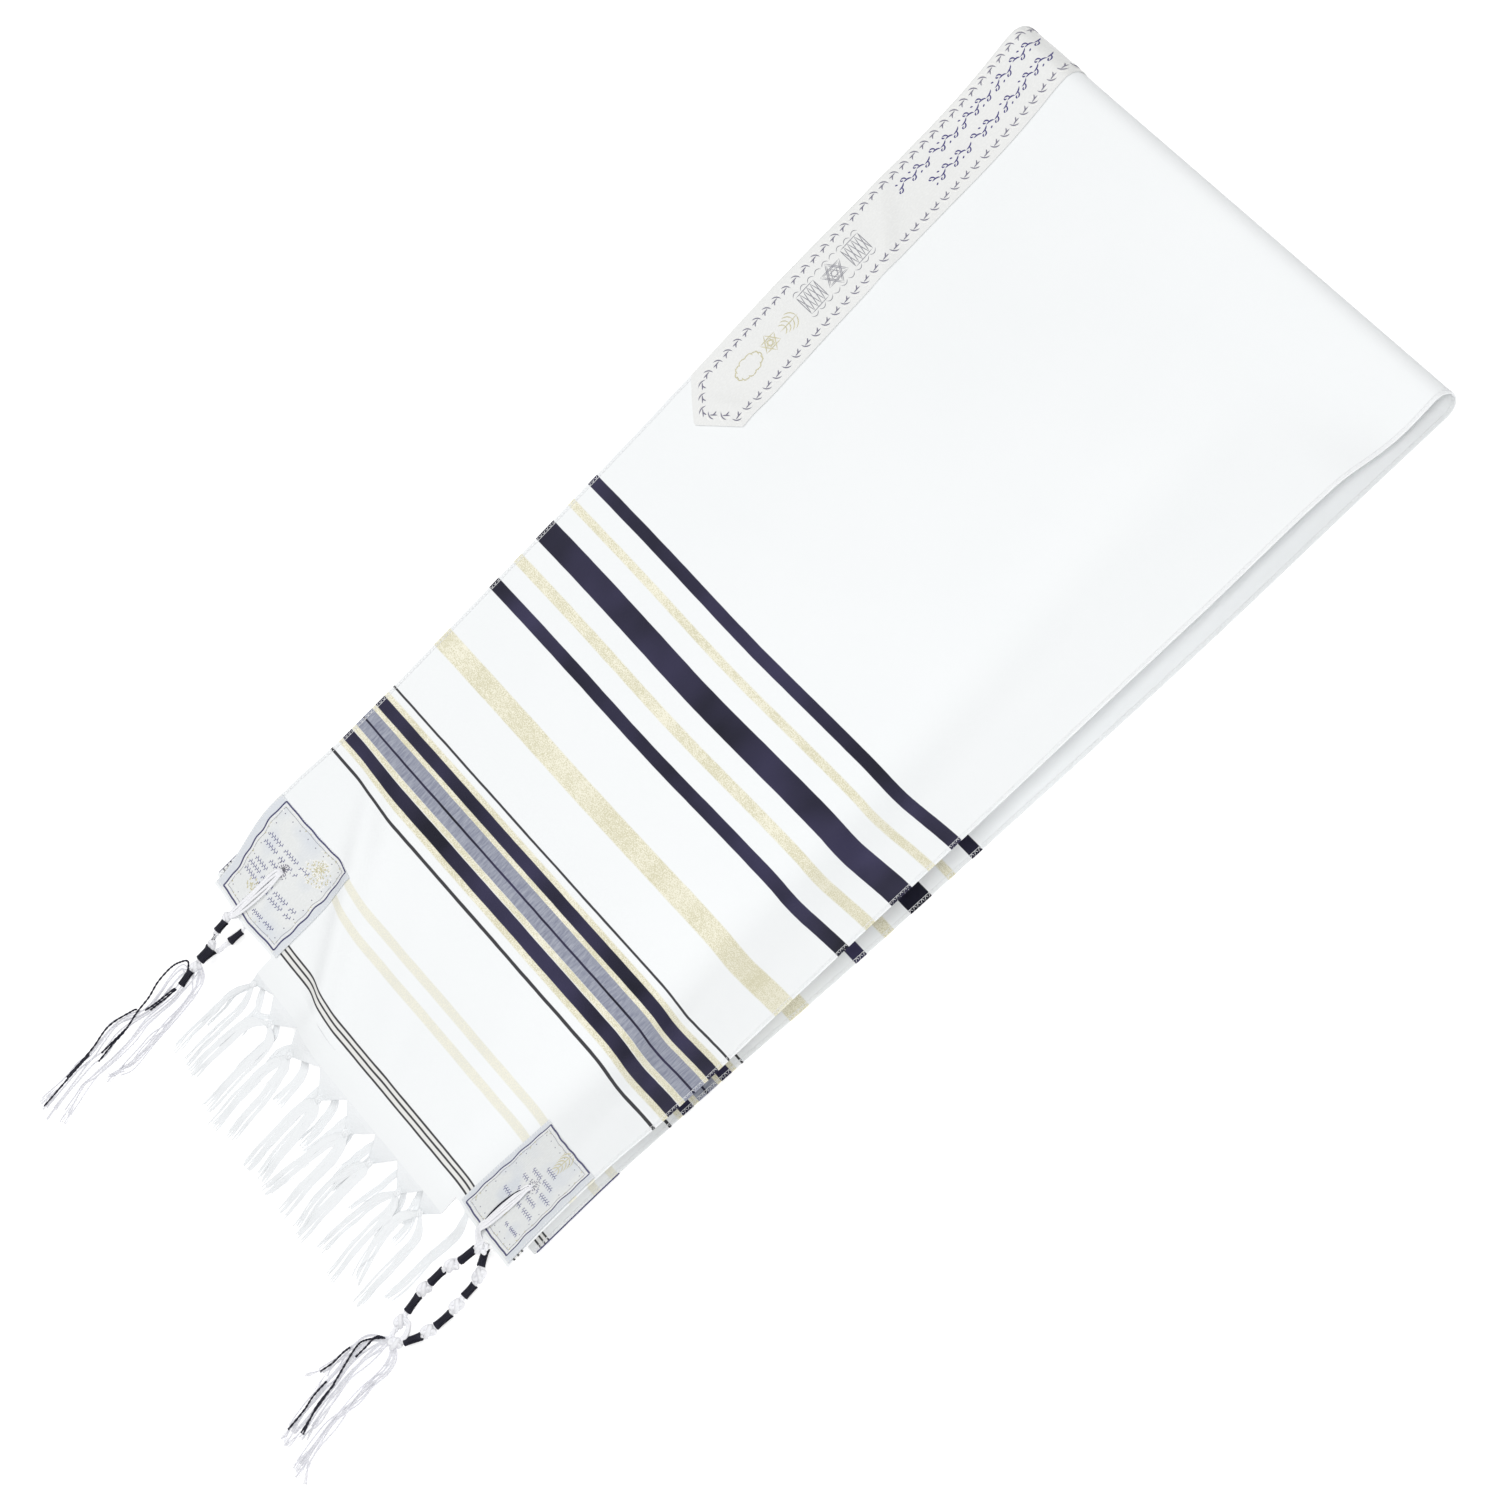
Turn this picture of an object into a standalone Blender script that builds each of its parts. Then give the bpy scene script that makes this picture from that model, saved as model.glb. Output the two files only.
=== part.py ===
"""A tallit prayer shawl, folded once across its middle and laid down flat with its fringe loose.

Metres, +Z up.  X runs across the shawl and Y along it, with the fold at +Y and the fringe at -Y.
A place on the cloth is (u, v): u from the left long edge, v along the cloth from the fold, plus in
the upper layer and minus in the lower one.
"""
import math

import bmesh
import bpy
import numpy as np

# The cut cloth, and how it is folded
WIDTH = 0.460
LENGTH = 1.830
FOLD_OFF_MIDDLE = 0.003
UPPER = LENGTH / 2 + FOLD_OFF_MIDDLE
LOWER = LENGTH / 2 - FOLD_OFF_MIDDLE
WALL = 0.0012
GAP = 0.0003
FOLD_Y = 0.4447
FOLD_RADIUS = 0.0124
QUARTER = FOLD_RADIUS * math.pi / 2
FLAT_Z = WALL / 2
AXIS_Z = FLAT_Z + FOLD_RADIUS
AXIS_Y = FOLD_Y - FOLD_RADIUS

# The trimmings
TRIM = 0.0008
TRIM_INSET = 0.0025
TRIM_LIFT = WALL / 2 + GAP + TRIM / 2
UNDERLAY = GAP + TRIM
UNDERLAY_EASE = 0.014
BAND_WIDTH = 0.065
BAND_TIP = 0.401
BAND_SHOULDER = 0.376
PATCH_WIDTH = 0.0970
PATCH_TOP = 0.829
PATCH_END = 0.9155
EYELET_U = (0.04525, 0.05125)
EYELET_V = (0.8645, 0.8705)

# Where the laid cloth goes, station by station from the fold: the upper layer's left edge, the slope
# of its lifted right side in degrees, the lower layer's right edge, and how far that layer lies back
STATIONS = np.array([
    # v, upper_left_x, lift_slope, lower_right_x, lower_back
    (0.000, -0.2240, 0.0, 0.2400, 0.000),
    (0.100, -0.2280, 11.0, 0.2375, 0.002),
    (0.250, -0.2285, 15.0, 0.2345, 0.005),
    (0.480, -0.2212, 24.5, 0.2250, 0.007),
    (0.610, -0.2175, 29.0, 0.2185, 0.004),
    (0.730, -0.2150, 32.0, 0.2105, 0.002),
    (0.830, -0.2150, 34.0, 0.2065, 0.008),
    (0.918, -0.2150, 31.0, 0.2055, 0.012),
])
NET_COLUMNS, NET_ROWS = 231, 450
LIFT_FROM, LIFT_FULL = 0.338, 0.372
LIFT_GROWS = 0.10
UPPER_REST = 0.0041
HEM_REST = 0.0085
HEM_RISE_FROM, HEM_RISE_TO = 0.76, 0.82
FOLD_EASE = 0.055
LOWER_INSET = 0.006
RIGHT_BACK, RIGHT_BACK_FROM = 0.0055, 0.36
SAG, SAG_U, SAG_V = 0.0025, 0.20, 0.53

# One soft ridge crosses the upper layer near the left patch, and the corner there turns down
RIDGE_START, RIDGE_FULL = 0.72, 0.81
RIDGE_SHIFT = 0.006
RIDGE_TAKE_FROM = 0.80
RIDGE_TAKE = 0.0050
RIDGE_HEIGHT = 0.0070
RIDGE_HALF = 0.018
CORNER, CORNER_FROM = 0.075, 0.84
CORNER_IN = 0.012
CORNER_UP = 0.004
CORNER_DOWN = 0.003

# Knotted fringe: a woven-out web along the hem narrows to knots, and each knot has two loose legs
KNOTS = [
    # web_from, knot_at: both across the cloth; left_leg, right_leg: where the tips hang, from the knot
    (0.0995, 0.1035, -0.0075, 0.0060),
    (0.1235, 0.1340, -0.0125, 0.0105),
    (0.1560, 0.1700, -0.0065, 0.0085),
    (0.1915, 0.2105, -0.0055, 0.0090),
    (0.2275, 0.2480, -0.0105, 0.0110),
    (0.2650, 0.2810, -0.0085, 0.0040),
    (0.2945, 0.3140, -0.0125, 0.0105),
    (0.3270, 0.3395, -0.0040, 0.0145),
]
FRINGE_TO = 0.354
WEB_ENDS = [row[0] for row in KNOTS] + [FRINGE_TO]
WEB = 0.012
WEB_NARROWS = 0.020
KNOT_AT = 0.028
KNOT_END = 0.033
KNOT_HALF = 0.0046
KNOT_RISE = 0.0006
KNOT_SPAN = 0.005
LEGS_SETTLE = 0.045
TIPS_SINK = 0.085
STRAND = 0.0017
STRAND_APART = 0.0046
FRINGE = {
    # layer: (side of the fold, length of the layer, shift across, height, height of its tips, leg length)
    "upper": (1, UPPER, 0.0, 0.0042, 0.0012, 0.080),
    "lower": (-1, LOWER, 0.0080, 0.0010, 0.0010, 0.050),
}

# Tzitzit: a doubled cord through the eyelet, a wound and knotted column, and loose tails
CORD = 0.0012
HIDDEN_CORD, HIDDEN_DEPTH = 0.0009, 0.0018
TAIL = 0.0009
JOIN_DEPTH = 0.0015
TAIL_HEIGHT = {"upper": 0.0036, "lower": 0.0012}
EYELET_MIDDLE = sum(EYELET_V) / 2
CORD_DRIFT = {
    # node: how far across its cord moves between the eyelet and the hem
    "tzitzit_upper_left": -0.0065, "tzitzit_upper_right": -0.0060,
    "tzitzit_lower_left": 0.0080, "tzitzit_lower_right": 0.0120,
}
COLUMNS = {
    # node: rows of (x, y, z, radius) along the middle of the column
    "tzitzit_upper_left": [
        (-0.1704, -0.4655, 0.0092, 0.0030), (-0.1700, -0.4680, 0.0088, 0.0026),
        (-0.1696, -0.4763, 0.0082, 0.0026), (-0.1674, -0.4803, 0.0080, 0.0030),
        (-0.1656, -0.4853, 0.0076, 0.0026), (-0.1636, -0.4874, 0.0076, 0.0046),
        (-0.1604, -0.5001, 0.0076, 0.0046), (-0.1604, -0.5022, 0.0072, 0.0030),
        (-0.1608, -0.5110, 0.0062, 0.0028), (-0.1607, -0.5200, 0.0050, 0.0022),
    ],
    "tzitzit_upper_right": [
        (0.1864, -0.4700, 0.0310, 0.0032), (0.1815, -0.4745, 0.0270, 0.0026),
        (0.1767, -0.4895, 0.0210, 0.0026), (0.1738, -0.4966, 0.0190, 0.0038),
        (0.1699, -0.5047, 0.0150, 0.0026), (0.1678, -0.5186, 0.0110, 0.0026),
        (0.1673, -0.5247, 0.0100, 0.0038), (0.1672, -0.5315, 0.0080, 0.0026),
        (0.1690, -0.5460, 0.0062, 0.0026), (0.1705, -0.5540, 0.0055, 0.0036),
        (0.1712, -0.5600, 0.0050, 0.0030),
    ],
    "tzitzit_lower_left": [
        (-0.1562, -0.4636, 0.0040, 0.0026), (-0.1557, -0.4734, 0.0040, 0.0026),
        (-0.1566, -0.4778, 0.0040, 0.0034), (-0.1572, -0.4812, 0.0033, 0.0028),
    ],
    "tzitzit_lower_right": [
        (0.1770, -0.4720, 0.0060, 0.0026), (0.1838, -0.4837, 0.0050, 0.0026),
        (0.1882, -0.4888, 0.0048, 0.0038), (0.1904, -0.4959, 0.0045, 0.0026),
        (0.1912, -0.5074, 0.0045, 0.0026), (0.1929, -0.5152, 0.0045, 0.0038),
        (0.1933, -0.5224, 0.0045, 0.0026), (0.1922, -0.5370, 0.0045, 0.0026),
        (0.1915, -0.5429, 0.0045, 0.0038), (0.1900, -0.5493, 0.0045, 0.0026),
        (0.1835, -0.5620, 0.0040, 0.0026), (0.1815, -0.5660, 0.0040, 0.0032),
    ],
}
TAILS = {
    # node: rows of (tip x, tip y, sideways bow)
    "tzitzit_upper_left": [
        (-0.1740, -0.6371, -0.0060), (-0.1681, -0.6650, -0.0020), (-0.1620, -0.6460, 0.0020),
        (-0.1700, -0.5830, -0.0080), (-0.1560, -0.6300, 0.0030),
    ],
    "tzitzit_upper_right": [
        (0.1547, -0.6234, -0.0040), (0.1640, -0.6693, -0.0030), (0.1687, -0.6720, 0.0010),
        (0.1774, -0.6624, 0.0020), (0.1600, -0.6480, -0.0060),
    ],
    "tzitzit_lower_left": [
        (-0.1590, -0.6625, 0.0010), (-0.1521, -0.6551, 0.0020), (-0.1480, -0.6120, 0.0060),
        (-0.1435, -0.6000, 0.0040),
    ],
    "tzitzit_lower_right": [
        (0.1850, -0.6700, 0.0010), (0.1898, -0.6786, 0.0050), (0.1927, -0.6536, 0.0090),
        (0.1984, -0.6747, 0.0040),
    ],
}

# Net lines, chosen to fall on the edges of the band, the patches and the eyelets
LEFT_LINES = [0, TRIM_INSET, 0.01875, 0.035, *EYELET_U, TRIM_INSET + BAND_WIDTH, 0.084]
LEFT_LINES += [TRIM_INSET + PATCH_WIDTH]
MIDDLE_LINES = list(np.interp([0.5, 1, 1.5, 2, 2.5, 3, 4, 5, 6, 7, 7.5, 8], range(9), WEB_ENDS))
RIGHT_LINES = [WIDTH - TRIM_INSET - PATCH_WIDTH, 0.384, WIDTH - EYELET_U[1], WIDTH - EYELET_U[0]]
RIGHT_LINES += [0.435, WIDTH - TRIM_INSET, WIDTH]
U_LINES = LEFT_LINES + MIDDLE_LINES + RIGHT_LINES
END_LINES = [0.796, 0.816, PATCH_TOP, 0.846, *EYELET_V, 0.885, 0.900, PATCH_END, UPPER]
BAND_END = [BAND_SHOULDER, (BAND_SHOULDER + BAND_TIP) / 2, BAND_TIP]
UPPER_LINES = [0.032, 0.048, 0.070, 0.095, 0.130, 0.180, 0.240, 0.300, 0.340, *BAND_END]
UPPER_LINES += [0.440, 0.490, 0.540, 0.590, 0.640, 0.690, 0.725, 0.755, 0.774, *END_LINES]
LOWER_LINES = [0.048, 0.095, 0.180, 0.280, *BAND_END, 0.431, 0.540, 0.660, 0.755, *END_LINES]
FOLD_LINES = list(np.linspace(-QUARTER, QUARTER, 9))

COLOURS = {
    # name: (red, green, blue, roughness)
    "cloth_white": (0.93, 0.94, 0.95, 0.75),
    "band_satin": (0.86, 0.86, 0.84, 0.45),
    "patch_satin": (0.84, 0.87, 0.91, 0.50),
    "fringe_white": (0.95, 0.95, 0.95, 0.80),
    "tzitzit_cord": (0.92, 0.92, 0.94, 0.70),
}


def ease(x):
    """A smooth step, 3x^2 - 2x^3, held at 0 and 1 outside the unit range."""
    x = np.clip(x, 0.0, 1.0)
    return x * x * (3.0 - 2.0 * x)


def station(column, v):
    """One column of STATIONS at v, eased between its rows with slopes taken from their neighbours."""
    at, value = STATIONS[:, 0], STATIONS[:, column]
    slope = np.gradient(value, at)
    row = np.clip(np.searchsorted(at, v) - 1, 0, len(at) - 2)
    step = at[row + 1] - at[row]
    t = (v - at[row]) / step
    near = (1 + 2 * t) * (1 - t) ** 2 * value[row] + t * (1 - t) ** 2 * step * slope[row]
    far = t * t * (3 - 2 * t) * value[row + 1] + t * t * (t - 1) * step * slope[row + 1]
    return near + far


def ridge_u(v):
    """How far across the cloth the ridge runs at v."""
    return 0.060 + 0.75 * (v - 0.774)


def lower_mask(u, v):
    """1 where the band or a patch lies under the lower layer, falling to 0 around it."""
    end = v + 2 * FOLD_OFF_MIDDLE
    band = 1 - ease((u - TRIM_INSET - BAND_WIDTH) / UNDERLAY_EASE)
    band = band * (1 - ease((end - BAND_TIP) / (2 * UNDERLAY_EASE)))
    beside = np.minimum(u, WIDTH - u) - TRIM_INSET - PATCH_WIDTH
    patch = (1 - ease(beside / UNDERLAY_EASE)) * ease((end - PATCH_TOP) / (1.5 * UNDERLAY_EASE) + 1.6)
    return np.maximum(band, patch)


def upper_sheet():
    """The upper layer on a fine (u, v) net: its slope integrated across, its length along."""
    us = np.linspace(0.0, WIDTH, NET_COLUMNS)
    vs = np.linspace(QUARTER, UPPER, NET_ROWS)
    u, v = np.meshgrid(us, vs, indexing="ij")
    start = ease((v - QUARTER) / LIFT_GROWS)
    slope = np.radians(station(2, v)) * start * ease((u - LIFT_FROM) / (LIFT_FULL - LIFT_FROM))
    step_u, step_v = us[1] - us[0], vs[1] - vs[0]
    across = np.cumsum(np.cos(slope), axis=0) * step_u
    rise = np.cumsum(np.sin(slope), axis=0) * step_u
    corner = ease((v - CORNER_FROM) / CORNER) * ease((CORNER - u) / CORNER)
    side = (u - ridge_u(v)) / RIDGE_HALF
    grown = ease((v - RIDGE_START) / (RIDGE_FULL - RIDGE_START))
    risen = ease((v - HEM_RISE_FROM) / (HEM_RISE_TO - HEM_RISE_FROM))
    rest = UPPER_REST + (HEM_REST - UPPER_REST) * risen
    fall = np.exp(-((v - QUARTER) / FOLD_EASE) ** 1.4)
    z = rest + (AXIS_Z + FOLD_RADIUS - rest) * fall + rise - rise[:1]
    z = z + RIDGE_HEIGHT * grown * np.exp(-side ** 2) - CORNER_DOWN * corner
    past = ease(side / 3 + 0.5)
    x = station(1, v) + across - across[:1] + CORNER_IN * corner
    x = x - RIDGE_TAKE * ease((v - RIDGE_TAKE_FROM) / (UPPER - RIDGE_TAKE_FROM)) * past
    run = np.sqrt(step_v ** 2 - np.diff(z, axis=1) ** 2)
    y = AXIS_Y - np.concatenate([np.zeros((len(us), 1)), np.cumsum(run, axis=1)], axis=1)
    y = y + RIDGE_SHIFT * grown * (1 - past) + CORNER_UP * corner
    y = y + RIGHT_BACK * start * ease((u - RIGHT_BACK_FROM) / (WIDTH - RIGHT_BACK_FROM))
    y = y - SAG * np.exp(-((u - SAG_U) / 0.09) ** 2 - ((v - SAG_V) / 0.12) ** 2)
    return us, vs, np.stack([x, y, z], axis=-1)


def read_sheet(sheet, u, v):
    """Points of a net made by upper_sheet, read between its lines."""
    us, vs, points = sheet
    across = np.clip((u - us[0]) / (us[1] - us[0]), 0, len(us) - 1.000001)
    along = np.clip((v - vs[0]) / (vs[1] - vs[0]), 0, len(vs) - 1.000001)
    i, j = across.astype(int), along.astype(int)
    s, t = (across - i)[..., None], (along - j)[..., None]
    near = points[i, j] * (1 - s) + points[i + 1, j] * s
    far = points[i, j + 1] * (1 - s) + points[i + 1, j + 1] * s
    return near * (1 - t) + far * t


def lower_point(u, v):
    """The lower layer, v taken as plus: flat on the floor, lifted only over the band and patches."""
    left = station(1, v) + LOWER_INSET
    x = left + (station(3, v) - left) * u / WIDTH
    y = AXIS_Y - (v - QUARTER) + station(4, v) - station(4, QUARTER)
    z = FLAT_Z + UNDERLAY * lower_mask(u, v)
    return np.stack([x, y, z], axis=-1)


def cloth_points(sheet, u, v):
    """The middle of the cloth's wall: upper layer, half-round fold and lower layer in one run."""
    upper = read_sheet(sheet, u, np.maximum(v, QUARTER))
    lower = lower_point(u, np.maximum(-v, QUARTER))
    turn = np.clip(v, -QUARTER, QUARTER) / FOLD_RADIUS
    share = ease((turn / (math.pi / 2) + 1) / 2)[..., None]
    fold = upper * share + lower * (1 - share)
    lifted = UNDERLAY * lower_mask(u, QUARTER + 0 * u) * (1 - np.sin(turn)) / 2
    fold[..., 1] = AXIS_Y + FOLD_RADIUS * np.cos(turn)
    fold[..., 2] = AXIS_Z + FOLD_RADIUS * np.sin(turn) + lifted
    is_fold = (np.abs(v) < QUARTER)[..., None]
    return np.where(is_fold, fold, np.where((v > 0)[..., None], upper, lower))


def laid(sheet, u, v, lift=0.0):
    """Points at a height over the middle of the wall, measured square to the cloth."""
    u, v = np.asarray(u, float), np.asarray(v, float)
    reach = 0.0015
    along = cloth_points(sheet, u, v + reach) - cloth_points(sheet, u, v - reach)
    across = cloth_points(sheet, u + reach, v) - cloth_points(sheet, u - reach, v)
    normal = np.cross(along, across)
    normal /= np.linalg.norm(normal, axis=-1, keepdims=True)
    return cloth_points(sheet, u, v) + normal * np.asarray(lift)[..., None]


def new_collection(name, hidden=False):
    """A collection under the scene's own; the joined-in shapes go in hidden ones."""
    collection = bpy.data.collections.new(name)
    bpy.context.scene.collection.children.link(collection)
    collection.hide_render = hidden
    return collection


def material(name):
    """A plain Principled material from COLOURS."""
    found = bpy.data.materials.get(name)
    if found:
        return found
    red, green, blue, roughness = COLOURS[name]
    made = bpy.data.materials.new(name)
    made.use_nodes = True
    shader = made.node_tree.nodes["Principled BSDF"]
    shader.inputs["Base Color"].default_value = (red, green, blue, 1.0)
    shader.inputs["Roughness"].default_value = roughness
    made.diffuse_color = (red, green, blue, 1.0)
    return made


def new_object(name, mesh, collection, finish):
    """An object holding the mesh, with its own material, in the collection."""
    made = bpy.data.objects.new(name, mesh)
    mesh.materials.append(material(finish))
    collection.objects.link(made)
    return made


def pattern(us, vs):
    """A flat cutting pattern: a grid whose lines lie at the given u and v."""
    flat = bmesh.new()
    bmesh.ops.create_grid(flat, x_segments=len(us) - 1, y_segments=len(vs) - 1, size=1.0)
    for vert in flat.verts:
        i = round((vert.co.x + 1) / 2 * (len(us) - 1))
        j = round((vert.co.y + 1) / 2 * (len(vs) - 1))
        vert.co = (us[i], vs[j], 0.0)
    return flat


def cut_eyelets(flat):
    """Take out the cells that fall inside an eyelet, in either layer."""
    def inside(face):
        centre = face.calc_center_median()
        from_edge = min(centre.x, WIDTH - centre.x)
        from_fold = centre.y if centre.y > 0 else 2 * FOLD_OFF_MIDDLE - centre.y
        return EYELET_U[0] < from_edge < EYELET_U[1] and EYELET_V[0] < from_fold < EYELET_V[1]
    holes = [face for face in flat.faces if inside(face)]
    bmesh.ops.delete(flat, geom=holes, context="FACES")


def lay(flat, place):
    """Move every point of a flat pattern to where place(u, v) says."""
    flat.verts.ensure_lookup_table()
    at = np.array([vert.co for vert in flat.verts])
    for vert, point in zip(flat.verts, place(at[:, 0], at[:, 1])):
        vert.co = point


def add_wall(name, flat, thickness, collection, finish):
    """Give a laid pattern its wall, half to each side of its points."""
    mesh = bpy.data.meshes.new(name)
    flat.to_mesh(mesh)
    flat.free()
    made = new_object(name, mesh, collection, finish)
    wall = made.modifiers.new("wall", "SOLIDIFY")
    wall.thickness = thickness
    wall.offset = 0.0
    wall.use_even_offset = True
    return made


def mirrored(lines):
    """Lines of the lower layer that fall on the same places of the cloth, counted from its end."""
    return [2 * FOLD_OFF_MIDDLE - line for line in reversed(lines)]


def build_cloth(sheet, collection):
    """The whole cloth in one piece, with its four eyelets."""
    flat = pattern(U_LINES, mirrored(LOWER_LINES) + FOLD_LINES + UPPER_LINES)
    cut_eyelets(flat)
    lay(flat, lambda u, v: laid(sheet, u, v))
    return add_wall("cloth", flat, WALL, collection, "cloth_white")


def build_band(sheet, collection):
    """The neckband over the fold, cut to a point at both ends."""
    us = [line for line in U_LINES if TRIM_INSET <= line <= TRIM_INSET + BAND_WIDTH]
    far = [line for line in UPPER_LINES if line <= BAND_TIP]
    near = [line for line in LOWER_LINES if line <= BAND_TIP]
    flat = pattern(us, mirrored(near) + FOLD_LINES + far)
    rise = BAND_TIP - BAND_SHOULDER
    for tip, forward in ((BAND_TIP, 1), (2 * FOLD_OFF_MIDDLE - BAND_TIP, -1)):
        for sideways in (-1, 1):
            bmesh.ops.bisect_plane(
                flat, geom=flat.verts[:] + flat.edges[:] + flat.faces[:], dist=1e-6,
                plane_co=(TRIM_INSET + BAND_WIDTH / 2, tip, 0),
                plane_no=(sideways * rise, forward * BAND_WIDTH / 2, 0), clear_outer=True)
    lay(flat, lambda u, v: laid(sheet, u, v, TRIM_LIFT))
    return add_wall("neckband", flat, TRIM, collection, "band_satin")


def build_patches(sheet, collection):
    """A corner patch at each end of each layer, with its eyelet."""
    across = {"left": (TRIM_INSET, TRIM_INSET + PATCH_WIDTH),
              "right": (WIDTH - TRIM_INSET - PATCH_WIDTH, WIDTH - TRIM_INSET)}
    along = [line for line in END_LINES if PATCH_TOP <= line <= PATCH_END]
    for layer, vs in (("upper", along), ("lower", mirrored(along))):
        for side, (start, end) in across.items():
            us = [line for line in U_LINES if start - 1e-6 <= line <= end + 1e-6]
            flat = pattern(us, vs)
            cut_eyelets(flat)
            lay(flat, lambda u, v: laid(sheet, u, v, TRIM_LIFT))
            add_wall(f"patch_{layer}_{side}", flat, TRIM, collection, "patch_satin")


def extrude_row(flat, edges, places):
    """Extrude a run of edges to the given (x, y) places, left to right; returns the new edges."""
    made = bmesh.ops.extrude_edge_only(flat, edges=edges)["geom"]
    verts = sorted((item for item in made if isinstance(item, bmesh.types.BMVert)),
                   key=lambda vert: vert.co.x)
    for vert, (x, y) in zip(verts, places):
        vert.co = (x, y, 0.0)
    fresh = set(verts)
    return [item for item in made
            if isinstance(item, bmesh.types.BMEdge) and fresh.issuperset(item.verts)]


def strand_middle(knot, strand, t):
    """Sideways place of one of a knot's four strands, t from 0 at the knot to 1 at its tip."""
    root = (strand - 1.5) / 2 * KNOT_HALF
    leg = KNOTS[knot][2 + strand // 2]
    tip = leg + STRAND_APART * (strand % 2 - 0.5) + 0.0008 * math.sin(2.3 * knot + 1.7 * strand)
    return root + (tip - root) * math.sin(t * math.pi / 2) ** 1.3 + 0.0006 * math.sin(5 * t + knot)


def fringe_pattern(leg_length):
    """The flat pattern of one fringe: web, fans, knots and legs, y minus below the hem."""
    us = np.interp(np.arange(4 * len(KNOTS) + 1) / 4, range(len(WEB_ENDS)), WEB_ENDS)
    flat = pattern(us, [-WEB, -GAP])
    hem = [edge for edge in flat.edges if all(abs(vert.co.y + WEB) < 1e-6 for vert in edge.verts)]
    rows = [(WEB_NARROWS, 0.5, KNOT_HALF), (KNOT_AT, 1.0, KNOT_HALF), (KNOT_END, 1.0, 0.8 * KNOT_HALF)]
    for knot, row in enumerate(KNOTS):
        web = us[4 * knot:4 * knot + 5]
        run = [edge for edge in hem if web[0] < sum(vert.co.x for vert in edge.verts) / 2 < web[-1]]
        for depth, gathered, half in rows:
            ends = row[1] + half * np.linspace(-1.0, 1.0, len(web))
            run = extrude_row(flat, run, [(x, -depth) for x in web + (ends - web) * gathered])
        run.sort(key=lambda edge: edge.verts[0].co.x + edge.verts[1].co.x)
        for strand, edge in enumerate(run):
            tip = leg_length * (1 + 0.07 * math.sin(1.9 * knot + 2.6 * strand))
            for step in range(1, 7):
                x = row[1] + strand_middle(knot, strand, step / 6)
                y = -KNOT_END - tip * step / 6
                edge = extrude_row(flat, [edge], [(x - STRAND / 2, y), (x + STRAND / 2, y)])[0]
    return flat


def build_fringes(sheet, collection):
    """Each layer's fringe, falling from its hem to the height it lies at."""
    for layer, (side, length, shift, settled, tip_height, leg_length) in FRINGE.items():
        edge = cloth_points(sheet, np.array(U_LINES), np.full(len(U_LINES), side * length))

        def place(u, y):
            hem = np.stack([np.interp(u + shift, U_LINES, edge[:, axis]) for axis in range(3)], axis=-1)
            knotted = np.exp(-((y + KNOT_AT) / KNOT_SPAN) ** 2)
            height = settled + (tip_height - settled) * ease((-y - TIPS_SINK) / 0.02)
            height = height + (np.maximum(hem[:, 2], settled) - height) * (1 - ease(-y / LEGS_SETTLE))
            return np.stack([hem[:, 0], hem[:, 1] + y, height + KNOT_RISE * knotted], axis=-1)
        flat = fringe_pattern(leg_length)
        knots = [vert.index for vert in flat.verts
                 if KNOT_AT - KNOT_SPAN / 2 < -vert.co.y < KNOT_END + KNOT_SPAN / 2]
        lay(flat, place)
        fringe = add_wall(f"fringe_{layer}", flat, 2 * WALL, collection, "fringe_white")
        fringe.vertex_groups.new(name="knots").add(knots, 1.0, "REPLACE")
        fringe.modifiers["wall"].vertex_group = "knots"
        fringe.modifiers["wall"].thickness_vertex_group = 0.5


def add_tube(name, rows, sides, collection):
    """A round tube through rows of (x, y, z, radius), made a mesh with its end caps welded on."""
    curve = bpy.data.curves.new(name, "CURVE")
    curve.dimensions = "3D"
    curve.bevel_depth = 0.001
    curve.bevel_resolution = {4: 0, 8: 2}[sides]
    curve.use_fill_caps = True
    spline = curve.splines.new("POLY")
    spline.points.add(len(rows) - 1)
    for point, (x, y, z, radius) in zip(spline.points, rows):
        point.co = (x, y, z, 1.0)
        point.radius = radius / curve.bevel_depth
    drawn = bpy.data.objects.new(name, curve)
    bpy.context.scene.collection.objects.link(drawn)
    evaluated = drawn.evaluated_get(bpy.context.evaluated_depsgraph_get())
    mesh = bpy.data.meshes.new_from_object(evaluated)
    mesh.name = name
    bpy.data.objects.remove(drawn)
    bpy.data.curves.remove(curve)
    welded = bmesh.new()
    welded.from_mesh(mesh)
    bmesh.ops.remove_doubles(welded, verts=welded.verts, dist=0.00002)
    welded.to_mesh(mesh)
    welded.free()
    mesh.materials.clear()
    return new_object(name, mesh, collection, "tzitzit_cord")


def tail_rows(start, tip, bow):
    """One loose tail from the column's end to its tip, bowed to one side and sinking early."""
    rows = []
    for t in np.linspace(0.0, 1.0, 7):
        x = start[0] + (tip[0] - start[0]) * t + bow * math.sin(math.pi * t)
        y = start[1] + (tip[1] - start[1]) * t
        z = start[2] + (tip[2] - start[2]) * float(ease(4 * t))
        rows.append((x, y, z, TAIL))
    return rows


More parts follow.
